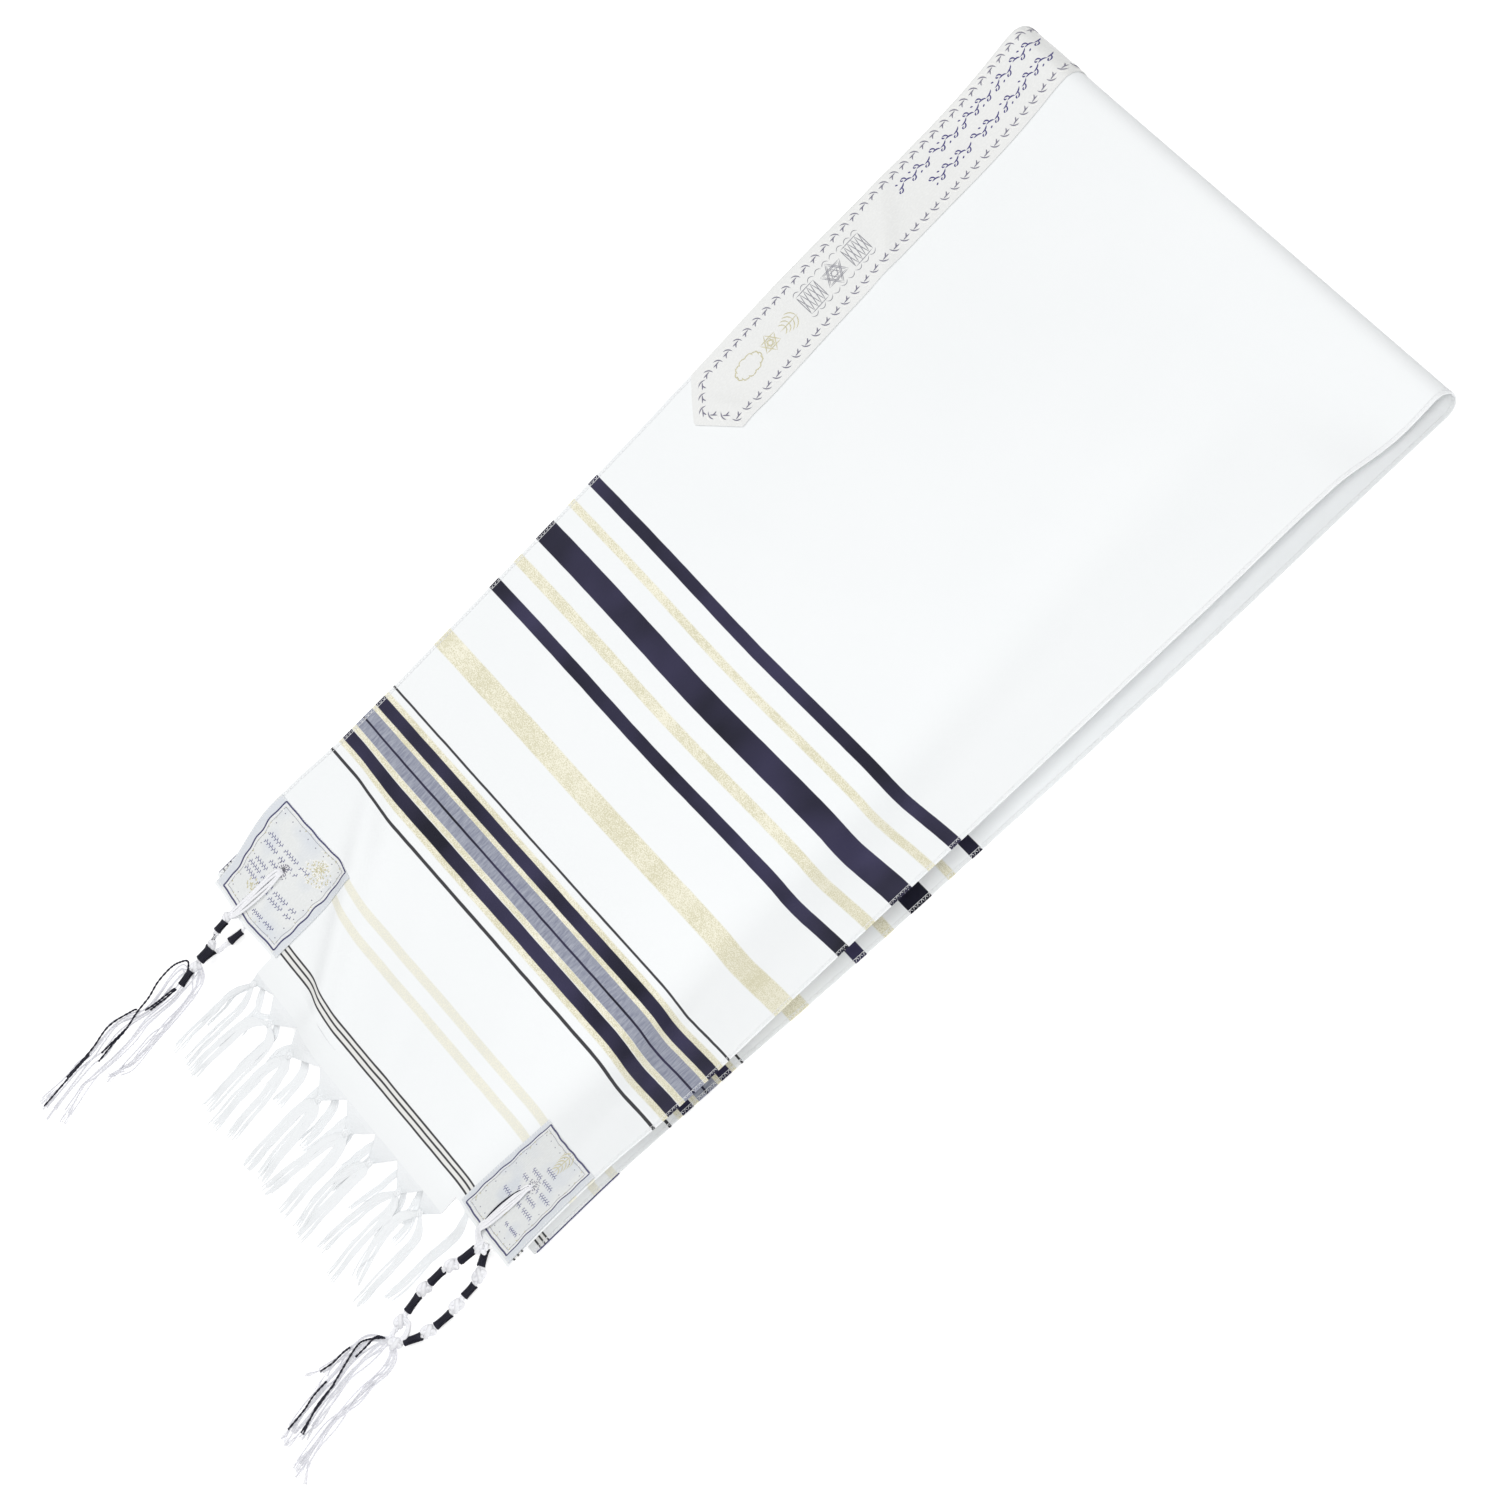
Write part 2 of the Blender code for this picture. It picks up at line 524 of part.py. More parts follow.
def doubled_cord(sheet, u, drift, knot):
    """A cord from the knot over the patch, down through the eyelet and back under the cloth."""
    over = TRIM_LIFT + TRIM / 2 + GAP + CORD
    under = -(WALL / 2 + GAP + CORD)
    steps = np.array([0.0570, 0.0525, 0.0400, 0.0240, 0.0120, 0.0050, 0.0010])
    vs = EYELET_MIDDLE + np.concatenate([steps, [0.0], steps[::-1]])
    lifts = np.concatenate([np.full(6, over), [0.0028, 0.0004], np.full(7, under)])
    across = u + drift * (vs - EYELET_MIDDLE) / (UPPER - EYELET_MIDDLE)
    points = laid(sheet, across, np.minimum(vs, UPPER), lifts)
    points[:, 1] -= np.maximum(vs - UPPER, 0)
    rows = [(*point, CORD) for point in points]
    return [(*knot, CORD), *rows, (*knot, CORD)]


def inner_cord(sheet, u, drift, knot):
    """The lower layer's cord, up out of its eyelet and along between the layers to the knot."""
    vs = EYELET_MIDDLE + np.array([0.0, 0.0020, 0.0065, 0.0300, 0.0460])
    lifts = np.array([GAP, *[-HIDDEN_DEPTH] * 4])
    across = u + drift * (vs - EYELET_MIDDLE) / (UPPER - EYELET_MIDDLE)
    points = laid(sheet, across, 2 * FOLD_OFF_MIDDLE - vs, lifts)
    return [*((*point, HIDDEN_CORD) for point in points), (*knot, HIDDEN_CORD)]


def inside_end(end, neighbour):
    """A place just inside a column's end, where what joins it starts."""
    return end + (neighbour - end) * JOIN_DEPTH / np.linalg.norm(neighbour - end)


def build_tzitzit(sheet, collection, joined):
    """Four tzitzit, each one body: cord, wound column and loose tails."""
    for node, rows in COLUMNS.items():
        operands = bpy.data.collections.new(node + "_joined")
        joined.children.link(operands)
        u = sum(EYELET_U) / 2 if node.endswith("left") else WIDTH - sum(EYELET_U) / 2
        cord = doubled_cord if "upper" in node else inner_cord
        middles = np.array(rows)[:, :3]
        route = cord(sheet, u, CORD_DRIFT[node], inside_end(middles[0], middles[1]))
        add_tube(node + "_cord", route, 8, operands)
        end, inside = rows[-1], inside_end(middles[-1], middles[-2])
        spread = len(TAILS[node]) - 1
        height = TAIL_HEIGHT["upper" if "upper" in node else "lower"]
        for number, (x, y, bow) in enumerate(TAILS[node]):
            start = inside + np.array(((number / spread - 0.5) * end[3], 0.0, 0.0))
            add_tube(f"{node}_tail_{number}", tail_rows(start, (x, y, height), bow), 4, operands)
        for operand in operands.objects:
            operand.display_type = "WIRE"
        column = add_tube(node, rows, 8, collection)
        join = column.modifiers.new("join", "BOOLEAN")
        join.operation = "UNION"
        join.operand_type = "COLLECTION"
        join.collection = operands
        join.solver = "EXACT"


def centre_on_floor(parts, joined):
    """Parent everything to an empty that puts the middle of the parts' shared box over the origin."""
    depsgraph = bpy.context.evaluated_depsgraph_get()
    corners = np.array([corner for part in parts for corner in part.evaluated_get(depsgraph).bound_box])
    low, high = corners.min(axis=0), corners.max(axis=0)
    holder = bpy.data.objects.new("tallit_place", None)
    bpy.context.scene.collection.objects.link(holder)
    holder.location = (-(low[0] + high[0]) / 2, -(low[1] + high[1]) / 2, -low[2])
    for item in [*parts, *joined]:
        item.parent = holder


def main():
    for old in list(bpy.data.objects):
        bpy.data.objects.remove(old)
    parts = new_collection("tallit")
    joined = new_collection("tallit_joined", hidden=True)
    sheet = upper_sheet()
    build_cloth(sheet, parts)
    build_band(sheet, parts)
    build_patches(sheet, parts)
    build_fringes(sheet, parts)
    build_tzitzit(sheet, parts, joined)
    centre_on_floor(list(parts.objects), list(joined.all_objects))


main()
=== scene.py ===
"""The finished look of a folded tallit: woven cloth, satin trimmings, stitching, fringe and tzitzit.

Metres, +Z up.  A place on the cloth is (u, v): u from the left long edge, v along the cloth from the
fold, plus in the upper layer and minus in the lower one.
"""
import math

import bpy
import numpy as np
from mathutils import Matrix


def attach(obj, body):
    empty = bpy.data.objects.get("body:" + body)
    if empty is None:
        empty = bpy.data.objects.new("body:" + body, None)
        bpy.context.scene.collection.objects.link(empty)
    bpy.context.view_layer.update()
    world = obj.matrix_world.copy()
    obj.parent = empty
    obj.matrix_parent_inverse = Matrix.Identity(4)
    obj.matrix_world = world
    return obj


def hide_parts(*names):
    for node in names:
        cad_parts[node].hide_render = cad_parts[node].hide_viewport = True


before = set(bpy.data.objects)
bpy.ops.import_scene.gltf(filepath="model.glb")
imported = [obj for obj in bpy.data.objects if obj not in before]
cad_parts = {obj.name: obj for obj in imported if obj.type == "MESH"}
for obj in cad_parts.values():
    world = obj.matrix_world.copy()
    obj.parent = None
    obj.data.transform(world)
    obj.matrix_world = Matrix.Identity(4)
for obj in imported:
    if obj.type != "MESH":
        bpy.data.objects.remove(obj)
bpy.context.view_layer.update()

# --- Cloth ----------------------------------------------------------------------------------------
# One length of light plain-woven cloth, white with navy, gold and grey-blue bands woven in near both
# ends.  It is folded once across its middle and laid down, and its right side lifts along the hem.
PLACE = np.array((-0.00529, 0.11612, 0.0))
WIDTH, LENGTH = 0.460, 1.830
FOLD_OFF_MIDDLE = 0.003
UPPER, LOWER = LENGTH / 2 + FOLD_OFF_MIDDLE, LENGTH / 2 - FOLD_OFF_MIDDLE
WALL = 0.0012
GAP = 0.0003
TRIM = 0.0008
TRIM_INSET = 0.0025
FOLD_Y, FOLD_RADIUS = 0.4447, 0.0124
QUARTER = FOLD_RADIUS * math.pi / 2
FLAT_Z = WALL / 2
AXIS_Y, AXIS_Z = FOLD_Y - FOLD_RADIUS, FLAT_Z + FOLD_RADIUS
BAND_WIDTH, BAND_TIP, BAND_SHOULDER = 0.065, 0.401, 0.376
PATCH_WIDTH, PATCH_TOP, PATCH_END = 0.0970, 0.829, 0.9155
EYELET_U, EYELET_V, EYELET_HALF = 0.04825, 0.8675, 0.003
EYELET_NET = np.array([-0.0062, -0.0045, -0.0030, -0.0015, 0.0, 0.0015, 0.0030, 0.0045, 0.0062])
EYELET_CLEAR = 0.0075
SHARP_FROM = math.radians(55)

STATIONS = np.array([
    # v, upper_left_x, lift_slope, lower_right_x, lower_back
    (0.000, -0.2240, 0.0, 0.2400, 0.000),
    (0.100, -0.2280, 11.0, 0.2375, 0.002),
    (0.250, -0.2285, 15.0, 0.2345, 0.005),
    (0.480, -0.2212, 24.5, 0.2250, 0.007),
    (0.610, -0.2175, 29.0, 0.2185, 0.004),
    (0.730, -0.2150, 32.0, 0.2105, 0.002),
    (0.830, -0.2150, 34.0, 0.2065, 0.008),
    (0.918, -0.2150, 31.0, 0.2055, 0.012),
])
LIFT_FROM, LIFT_FULL, LIFT_GROWS = 0.330, 0.380, 0.10
UPPER_REST, HEM_REST = 0.0041, 0.0085
HEM_RISE_FROM, HEM_RISE_TO = 0.76, 0.82
FOLD_EASE, FOLD_SHARPNESS = 0.055, 1.4
LOWER_INSET = 0.006
RIGHT_BACK, RIGHT_BACK_FROM = 0.0055, 0.36
SAG, SAG_U, SAG_V, SAG_WIDE, SAG_LONG = 0.0025, 0.20, 0.53, 0.09, 0.12
RIDGE_START, RIDGE_FULL = 0.72, 0.81
RIDGE_U, RIDGE_V, RIDGE_SLANT = 0.060, 0.774, 0.75
RIDGE_SHIFT, RIDGE_TAKE, RIDGE_TAKE_FROM = 0.006, 0.0050, 0.80
RIDGE_HEIGHT, RIDGE_HALF = 0.0070, 0.018
CORNER, CORNER_FROM, CORNER_IN, CORNER_UP, CORNER_DOWN = 0.075, 0.84, 0.012, 0.004, 0.003
UNDERLAY, UNDERLAY_EASE = GAP + TRIM, 0.014

CREASES_FADE = 0.05
CREASES = np.array([
    # u, v, turn (degrees), half_length, half_width, height
    (0.040, 0.200, 38.0, 0.052, 0.010, 0.0021),
    (0.050, 0.372, -28.0, 0.046, 0.009, 0.0018),
    (0.120, 0.435, -12.0, 0.110, 0.012, 0.0010),
    (0.205, 0.160, 78.0, 0.130, 0.030, 0.0010),
    (0.300, 0.240, 86.0, 0.150, 0.026, 0.0012),
    (0.150, 0.330, 70.0, 0.110, 0.028, -0.0009),
    (0.255, 0.420, 8.0, 0.120, 0.016, 0.0008),
    (0.330, 0.560, 74.0, 0.090, 0.018, 0.0010),
    (0.090, 0.620, 64.0, 0.080, 0.016, 0.0010),
    (0.210, 0.700, 82.0, 0.120, 0.022, -0.0008),
    (0.270, 0.800, 66.0, 0.080, 0.016, 0.0011),
    (0.190, 0.845, 58.0, 0.060, 0.011, 0.0012),
    (0.320, 0.870, 80.0, 0.050, 0.012, 0.0009),
    (0.235, 0.885, 70.0, 0.040, 0.010, -0.0010),
    (0.400, 0.450, 84.0, 0.160, 0.020, 0.0010),
    (0.400, 0.760, 76.0, 0.090, 0.014, 0.0012),
])


def ease(x):
    """A smooth step, 3x^2 - 2x^3, held at 0 and 1 outside the unit range."""
    x = np.clip(x, 0.0, 1.0)
    return x * x * (3.0 - 2.0 * x)


def unit(vectors):
    """Each vector over its own length."""
    return vectors / np.linalg.norm(vectors, axis=-1, keepdims=True)


def cubic(at, rows, x):
    """Rows given at some places, read at x: a cubic between neighbours, with the slopes found there."""
    slope = np.gradient(rows, at, axis=0)
    row = np.clip(np.searchsorted(at, x) - 1, 0, len(at) - 2)
    step = (at[row + 1] - at[row]).reshape(row.shape + (1,) * (rows.ndim - 1))
    t = (x - at[row]).reshape(step.shape) / step
    near = (1 + 2 * t) * (1 - t) ** 2 * rows[row] + t * (1 - t) ** 2 * step * slope[row]
    far = t * t * (3 - 2 * t) * rows[row + 1] + t * t * (t - 1) * step * slope[row + 1]
    return near + far


def station(column, v):
    """One column of STATIONS at v."""
    return cubic(STATIONS[:, 0], STATIONS[:, column], np.asarray(v, float))


def other_half(v):
    """The place as far from the cloth's middle on its other half."""
    return 2 * FOLD_OFF_MIDDLE - v


def creases(u, v):
    """Soft ridges and troughs: each is a bell of its height, long along its turned axis."""
    total = np.zeros_like(u)
    for at_u, at_v, turn, long, wide, high in CREASES:
        ahead, aside = math.cos(math.radians(turn)), math.sin(math.radians(turn))
        along = (u - at_u) * ahead + (v - at_v) * aside
        across = (v - at_v) * ahead - (u - at_u) * aside
        total += high * np.exp(-(along / long) ** 2 - (across / wide) ** 2)
    return total


def upper_net():
    """The upper layer on a fine net: its slope integrated across it, and its length along it."""
    us, vs = np.linspace(0.0, WIDTH, 231), np.linspace(QUARTER, UPPER, 450)
    u, v = np.meshgrid(us, vs, indexing="ij")
    start = ease((v - QUARTER) / LIFT_GROWS)
    slope = np.radians(station(2, v)) * start * ease((u - LIFT_FROM) / (LIFT_FULL - LIFT_FROM))
    step_u, step_v = us[1] - us[0], vs[1] - vs[0]
    across = np.cumsum(np.cos(slope), axis=0) * step_u
    rise = np.cumsum(np.sin(slope), axis=0) * step_u
    corner = ease((v - CORNER_FROM) / CORNER) * ease((CORNER - u) / CORNER)
    side = (u - RIDGE_U - RIDGE_SLANT * (v - RIDGE_V)) / RIDGE_HALF
    grown = ease((v - RIDGE_START) / (RIDGE_FULL - RIDGE_START))
    risen = ease((v - HEM_RISE_FROM) / (HEM_RISE_TO - HEM_RISE_FROM))
    rest = UPPER_REST + (HEM_REST - UPPER_REST) * risen
    fall = np.exp(-((v - QUARTER) / FOLD_EASE) ** FOLD_SHARPNESS)
    z = rest + (AXIS_Z + FOLD_RADIUS - rest) * fall + rise - rise[:1]
    z = z + RIDGE_HEIGHT * grown * np.exp(-side ** 2) - CORNER_DOWN * corner
    past = ease(side / 3 + 0.5)
    x = station(1, v) + across - across[:1] + CORNER_IN * corner
    x = x - RIDGE_TAKE * ease((v - RIDGE_TAKE_FROM) / (UPPER - RIDGE_TAKE_FROM)) * past
    run = np.sqrt(step_v ** 2 - np.diff(z, axis=1) ** 2)
    y = AXIS_Y - np.concatenate([np.zeros((len(us), 1)), np.cumsum(run, axis=1)], axis=1)
    y = y + RIDGE_SHIFT * grown * (1 - past) + CORNER_UP * corner
    y = y + RIGHT_BACK * start * ease((u - RIGHT_BACK_FROM) / (WIDTH - RIGHT_BACK_FROM))
    y = y - SAG * np.exp(-((u - SAG_U) / SAG_WIDE) ** 2 - ((v - SAG_V) / SAG_LONG) ** 2)
    z = z + creases(u, v) * ease((v - QUARTER) / CREASES_FADE)
    return us, vs, np.stack([x, y, z], axis=-1)


def upper_point(u, v):
    """The upper layer's middle, read between the lines of its net."""
    us, vs, points = NET
    across = np.clip((u - us[0]) / (us[1] - us[0]), 0, len(us) - 1 - 1e-6)
    along = np.clip((v - vs[0]) / (vs[1] - vs[0]), 0, len(vs) - 1 - 1e-6)
    i, j = across.astype(int), along.astype(int)
    s, t = (across - i)[..., None], (along - j)[..., None]
    near = points[i, j] * (1 - s) + points[i + 1, j] * s
    far = points[i, j + 1] * (1 - s) + points[i + 1, j + 1] * s
    return near * (1 - t) + far * t


def underlay(u, v):
    """1 where the neckband or a patch lies under the lower layer, falling to 0 around it; v is taken
    as plus."""
    end = other_half(-v)
    band = 1 - ease((u - TRIM_INSET - BAND_WIDTH) / UNDERLAY_EASE)
    band = band * (1 - ease((end - BAND_TIP) / (2 * UNDERLAY_EASE)))
    beside = np.minimum(u, WIDTH - u) - TRIM_INSET - PATCH_WIDTH
    patch = (1 - ease(beside / UNDERLAY_EASE)) * ease((end - PATCH_TOP) / (1.5 * UNDERLAY_EASE) + 1.6)
    return np.maximum(band, patch)


def lower_point(u, v):
    """The lower layer's middle, v taken as plus: flat, and lifted only over the trimmings."""
    left = station(1, v) + LOWER_INSET
    x = left + (station(3, v) - left) * u / WIDTH
    y = AXIS_Y - (v - QUARTER) + station(4, v) - station(4, QUARTER)
    return np.stack([x, y, FLAT_Z + UNDERLAY * underlay(u, v)], axis=-1)


def cloth_points(u, v):
    """The middle of the cloth: upper layer, half-round fold and lower layer in one run."""
    upper = upper_point(u, np.maximum(v, QUARTER))
    lower = lower_point(u, np.maximum(-v, QUARTER))
    turn = np.clip(v, -QUARTER, QUARTER) / FOLD_RADIUS
    share = ease((turn / (math.pi / 2) + 1) / 2)[..., None]
    fold = upper * share + lower * (1 - share)
    fold[..., 1] = AXIS_Y + FOLD_RADIUS * np.cos(turn)
    fold[..., 2] = AXIS_Z + FOLD_RADIUS * np.sin(turn)
    fold[..., 2] += UNDERLAY * underlay(u, QUARTER + 0 * u) * (1 - np.sin(turn)) / 2
    is_fold = (np.abs(v) < QUARTER)[..., None]
    return np.where(is_fold, fold, np.where((v > 0)[..., None], upper, lower)) + PLACE


def outward(u, v):
    """Unit normals of the cloth's outer side, from differences 1.5 mm either way."""
    reach = 0.0015
    along = cloth_points(u, v + reach) - cloth_points(u, v - reach)
    across = cloth_points(u + reach, v) - cloth_points(u - reach, v)
    return unit(np.cross(along, across))


def laid(u, v, lift=0.0):
    """Points at a height over the middle of the cloth, measured square to it."""
    return cloth_points(u, v) + outward(u, v) * np.asarray(lift + 0.0 * u)[..., None]


def shell(u, v, place, thickness, keep=None):
    """A closed wall over a net: place(u, v, plus and minus half the thickness), a quad above and one
    below every kept cell, and a rim wherever a kept cell has no kept neighbour."""
    points = np.concatenate([place(u, v, thickness / 2).reshape(-1, 3),
                             place(u, v, -thickness / 2).reshape(-1, 3)])
    rows, columns = u.shape
    if keep is None:
        keep = np.ones((rows - 1, columns - 1), bool)
    index = np.arange(rows * columns).reshape(rows, columns)
    corners = index[:-1, :-1], index[1:, :-1], index[1:, 1:], index[:-1, 1:]
    a, b, c, d = corners
    below = rows * columns
    faces = [np.stack([a, d, c, b], -1)[keep], np.stack([a, b, c, d], -1)[keep] + below]
    around = np.pad(keep, 1)
    neighbours = around[1:-1, :-2], around[2:, 1:-1], around[1:-1, 2:], around[:-2, 1:-1]
    for first, second, other in zip(corners, corners[1:] + corners[:1], neighbours):
        rim = keep & ~other
        faces.append(np.stack([first, second, second + below, first + below], -1)[rim])
    faces = np.concatenate(faces)
    flat = np.tile(np.stack([u, v - FOLD_OFF_MIDDLE], -1).reshape(-1, 2), (2, 1))
    return points, faces.tolist(), flat[faces.ravel()]


def eyelet_lines(lines, *centres):
    """Net lines with closer ones round each eyelet, falling on its edges and its middle."""
    for centre in centres:
        lines = lines[np.abs(lines - centre) > EYELET_CLEAR]
        lines = np.concatenate([lines, centre + EYELET_NET])
    return np.sort(lines)


def round_eyelets(u, v):
    """Turns the square hole round each eyelet's middle into a circle: a point moves out or in by its
    square distance over its true one, and less so further out."""
    half = EYELET_HALF
    for middle_u in (EYELET_U, WIDTH - EYELET_U):
        for middle_v in (EYELET_V, other_half(EYELET_V)):
            du, dv = u - middle_u, v - middle_v
            square, true = np.maximum(abs(du), abs(dv)), np.hypot(du, dv) + 1e-9
            move = 1 + (square / true - 1) * (1 - ease((square - half) / half))
            near = square < 2 * half
            u, v = np.where(near, middle_u + du * move, u), np.where(near, middle_v + dv * move, v)
    return u, v


def off_eyelets(us, vs):
    """Which cells of a net are kept: all but those inside an eyelet."""
    u, v = np.meshgrid((us[1:] + us[:-1]) / 2, (vs[1:] + vs[:-1]) / 2, indexing="ij")
    across = np.minimum(abs(u - EYELET_U), abs(WIDTH - EYELET_U - u))
    along = np.minimum(abs(v - EYELET_V), abs(v - other_half(EYELET_V)))
    return (across > EYELET_HALF) | (along > EYELET_HALF)


def make_piece(name, parts, finish, nodes=()):
    """One mesh object at the origin from (points, faces, corner uv) parts, riding on the one body."""
    points, faces, flats, count = [], [], [], 0
    for part_points, part_faces, part_flat in parts:
        faces += [[corner + count for corner in face] for face in part_faces]
        points.append(part_points.reshape(-1, 3))
        flats.append(part_flat)
        count += len(points[-1])
    mesh = bpy.data.meshes.new(name)
    mesh.from_pydata(np.concatenate(points).tolist(), [], faces)
    mesh.uv_layers.new(name="flat").data.foreach_set("uv", np.concatenate(flats).ravel())
    mesh.polygons.foreach_set("use_smooth", np.ones(len(mesh.polygons), bool))
    mesh.set_sharp_from_angle(angle=SHARP_FROM)
    mesh.materials.append(finish.material)
    piece = bpy.data.objects.new(name, mesh)
    bpy.context.scene.collection.objects.link(piece)
    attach(piece, "root")
    if nodes:
        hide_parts(*nodes)
    return piece


class Value:
    """A number or vector that varies over a surface: arithmetic on it adds Math nodes."""

    def __init__(self, finish, socket):
        self.finish, self.socket = finish, socket

    def __add__(self, other):
        return self.finish.math("ADD", self, other)

    def __sub__(self, other):
        return self.finish.math("SUBTRACT", self, other)

    def __rsub__(self, other):
        return self.finish.math("SUBTRACT", other, self)

    def __mul__(self, other):
        return self.finish.math("MULTIPLY", self, other)

    def __abs__(self):
        return self.finish.math("ABSOLUTE", self)

    __radd__, __rmul__ = __add__, __mul__


class Finish:
    """A Principled material: constants on its own sockets, and whatever varies added as nodes."""

    def __init__(self, name, colour, roughness, constants=None):
        self.material = bpy.data.materials.new(name)
        self.material.use_nodes = True
        self.tree = self.material.node_tree
        self.shader = self.tree.nodes["Principled BSDF"]
        self.set("Base Color", colour)
        self.set("Roughness", roughness)
        for socket, value in (constants or {}).items():
            self.set(socket, value)
        self.material.diffuse_color = (*colour, 1.0)

    def set(self, socket, value):
        """A link or a constant into the shader's own socket."""
        self.plug(self.shader.inputs[socket], value)

    def plug(self, socket, value):
        """A link or a constant into any socket; a colour gets its alpha."""
        if isinstance(value, Value):
            self.tree.links.new(value.socket, socket)
        elif isinstance(value, tuple) and socket.type == "RGBA" and len(value) == 3:
            socket.default_value = (*value, 1.0)
        else:
            socket.default_value = value

    def node(self, kind, settings=None, sockets=None, output=0):
        """Any node: its type, its settings, its sockets' values or links, and the output wanted."""
        made = self.tree.nodes.new(kind)
        for name, value in (settings or {}).items():
            setattr(made, name, value)
        for key, value in (sockets or {}).items():
            self.plug(made.inputs[key], value)
        return Value(self, made.outputs[output])

    def math(self, operation, *values, clamp=False):
        """A Math node."""
        return self.node("ShaderNodeMath", {"operation": operation, "use_clamp": clamp},
                         dict(enumerate(values)))

    def clamp(self, value):
        """A number held between 0 and 1."""
        return self.math("ADD", value, 0.0, clamp=True)

    def flat(self):
        """The piece's own flat coordinates, in metres: across and along, or along and round."""
        uv = self.node("ShaderNodeUVMap", {"uv_map": "flat"})
        return [self.node("ShaderNodeSeparateXYZ", None, {0: uv}, output) for output in (0, 1)]

    def blend(self, mask, first, second):
        """Two colours mixed by a mask: 0 gives the first."""
        return self.node("ShaderNodeMix", {"data_type": "RGBA", "clamp_factor": True},
                         {0: mask, 6: first, 7: second}, output=2)

    def noise(self, scale, detail=2.0, stretch=(1.0, 1.0, 1.0), roughness=0.5):
        """Noise over the piece's flat coordinates, stretched along them."""
        uv = self.node("ShaderNodeUVMap", {"uv_map": "flat"})
        sized = self.node("ShaderNodeVectorMath", {"operation": "MULTIPLY"}, {0: uv, 1: stretch})
        return self.node("ShaderNodeTexNoise", None, {"Vector": sized, "Scale": scale,
                                                      "Detail": detail, "Roughness": roughness})

    def wave(self, value, pitch):
        """A sine of the value, once every pitch, from -1 to 1."""
        return self.math("SINE", value * (2 * math.pi / pitch))

    def bump(self, height, distance, strength=1.0):
        """A height in units of the distance, raised on the shader's normal."""
        self.set("Normal", self.node("ShaderNodeBump", None, {
            "Height": height, "Distance": distance, "Strength": strength}))


STRIPES = [
    # distance from the cloth's middle, width, yarn
    (0.4820, 0.0099, "navy"), (0.5058, 0.0066, "gold"), (0.5348, 0.0194, "navy"),
    (0.5648, 0.0090, "gold"), (0.5909, 0.0104, "navy"), (0.6482, 0.0174, "gold"),
    (0.7012, 0.0018, "charcoal"), (0.7094, 0.0046, "gold"), (0.7163, 0.0098, "navy"),
    (0.7230, 0.0048, "gold"), (0.7343, 0.0186, "grey"), (0.7348, 0.0017, "navy"),
    (0.7460, 0.0048, "gold"), (0.7543, 0.0109, "navy"), (0.7618, 0.0053, "gold"),
    (0.7727, 0.0026, "charcoal"), (0.8305, 0.0070, "pale gold"), (0.8483, 0.0070, "pale gold"),
    (0.9036, 0.0098, "pale grey"), (0.8995, 0.0015, "charcoal"), (0.9034, 0.0015, "charcoal"),
    (0.9077, 0.0015, "charcoal"),
]
WHITE, PALE_GREY, CHARCOAL = (0.870, 0.887, 0.894), (0.790, 0.790, 0.765), (0.052, 0.052, 0.058)
# The darker navy is painted shade between painted sheen patches on the navy stripes.
NAVY, SHADED_NAVY = (0.038, 0.034, 0.084), (0.007, 0.007, 0.018)
# The lighter gold is partly painted sheen and partly the crepe's paler yarn.
GOLD, SHEEN_LIT_GOLD = (0.650, 0.618, 0.440), (0.845, 0.820, 0.685)
GREY, DEEP_GREY = (0.380, 0.400, 0.465), (0.235, 0.250, 0.325)
GOLD_FADE, PLAIN_FADE, THREAD_DRIFT = 0.0011, 0.0004, 0.0006
PLAIN_PITCH, SATIN_PITCH, WEFT_PITCH, WEAVE_DEPTH = 0.0011, 0.0009, 0.0014, 0.00007


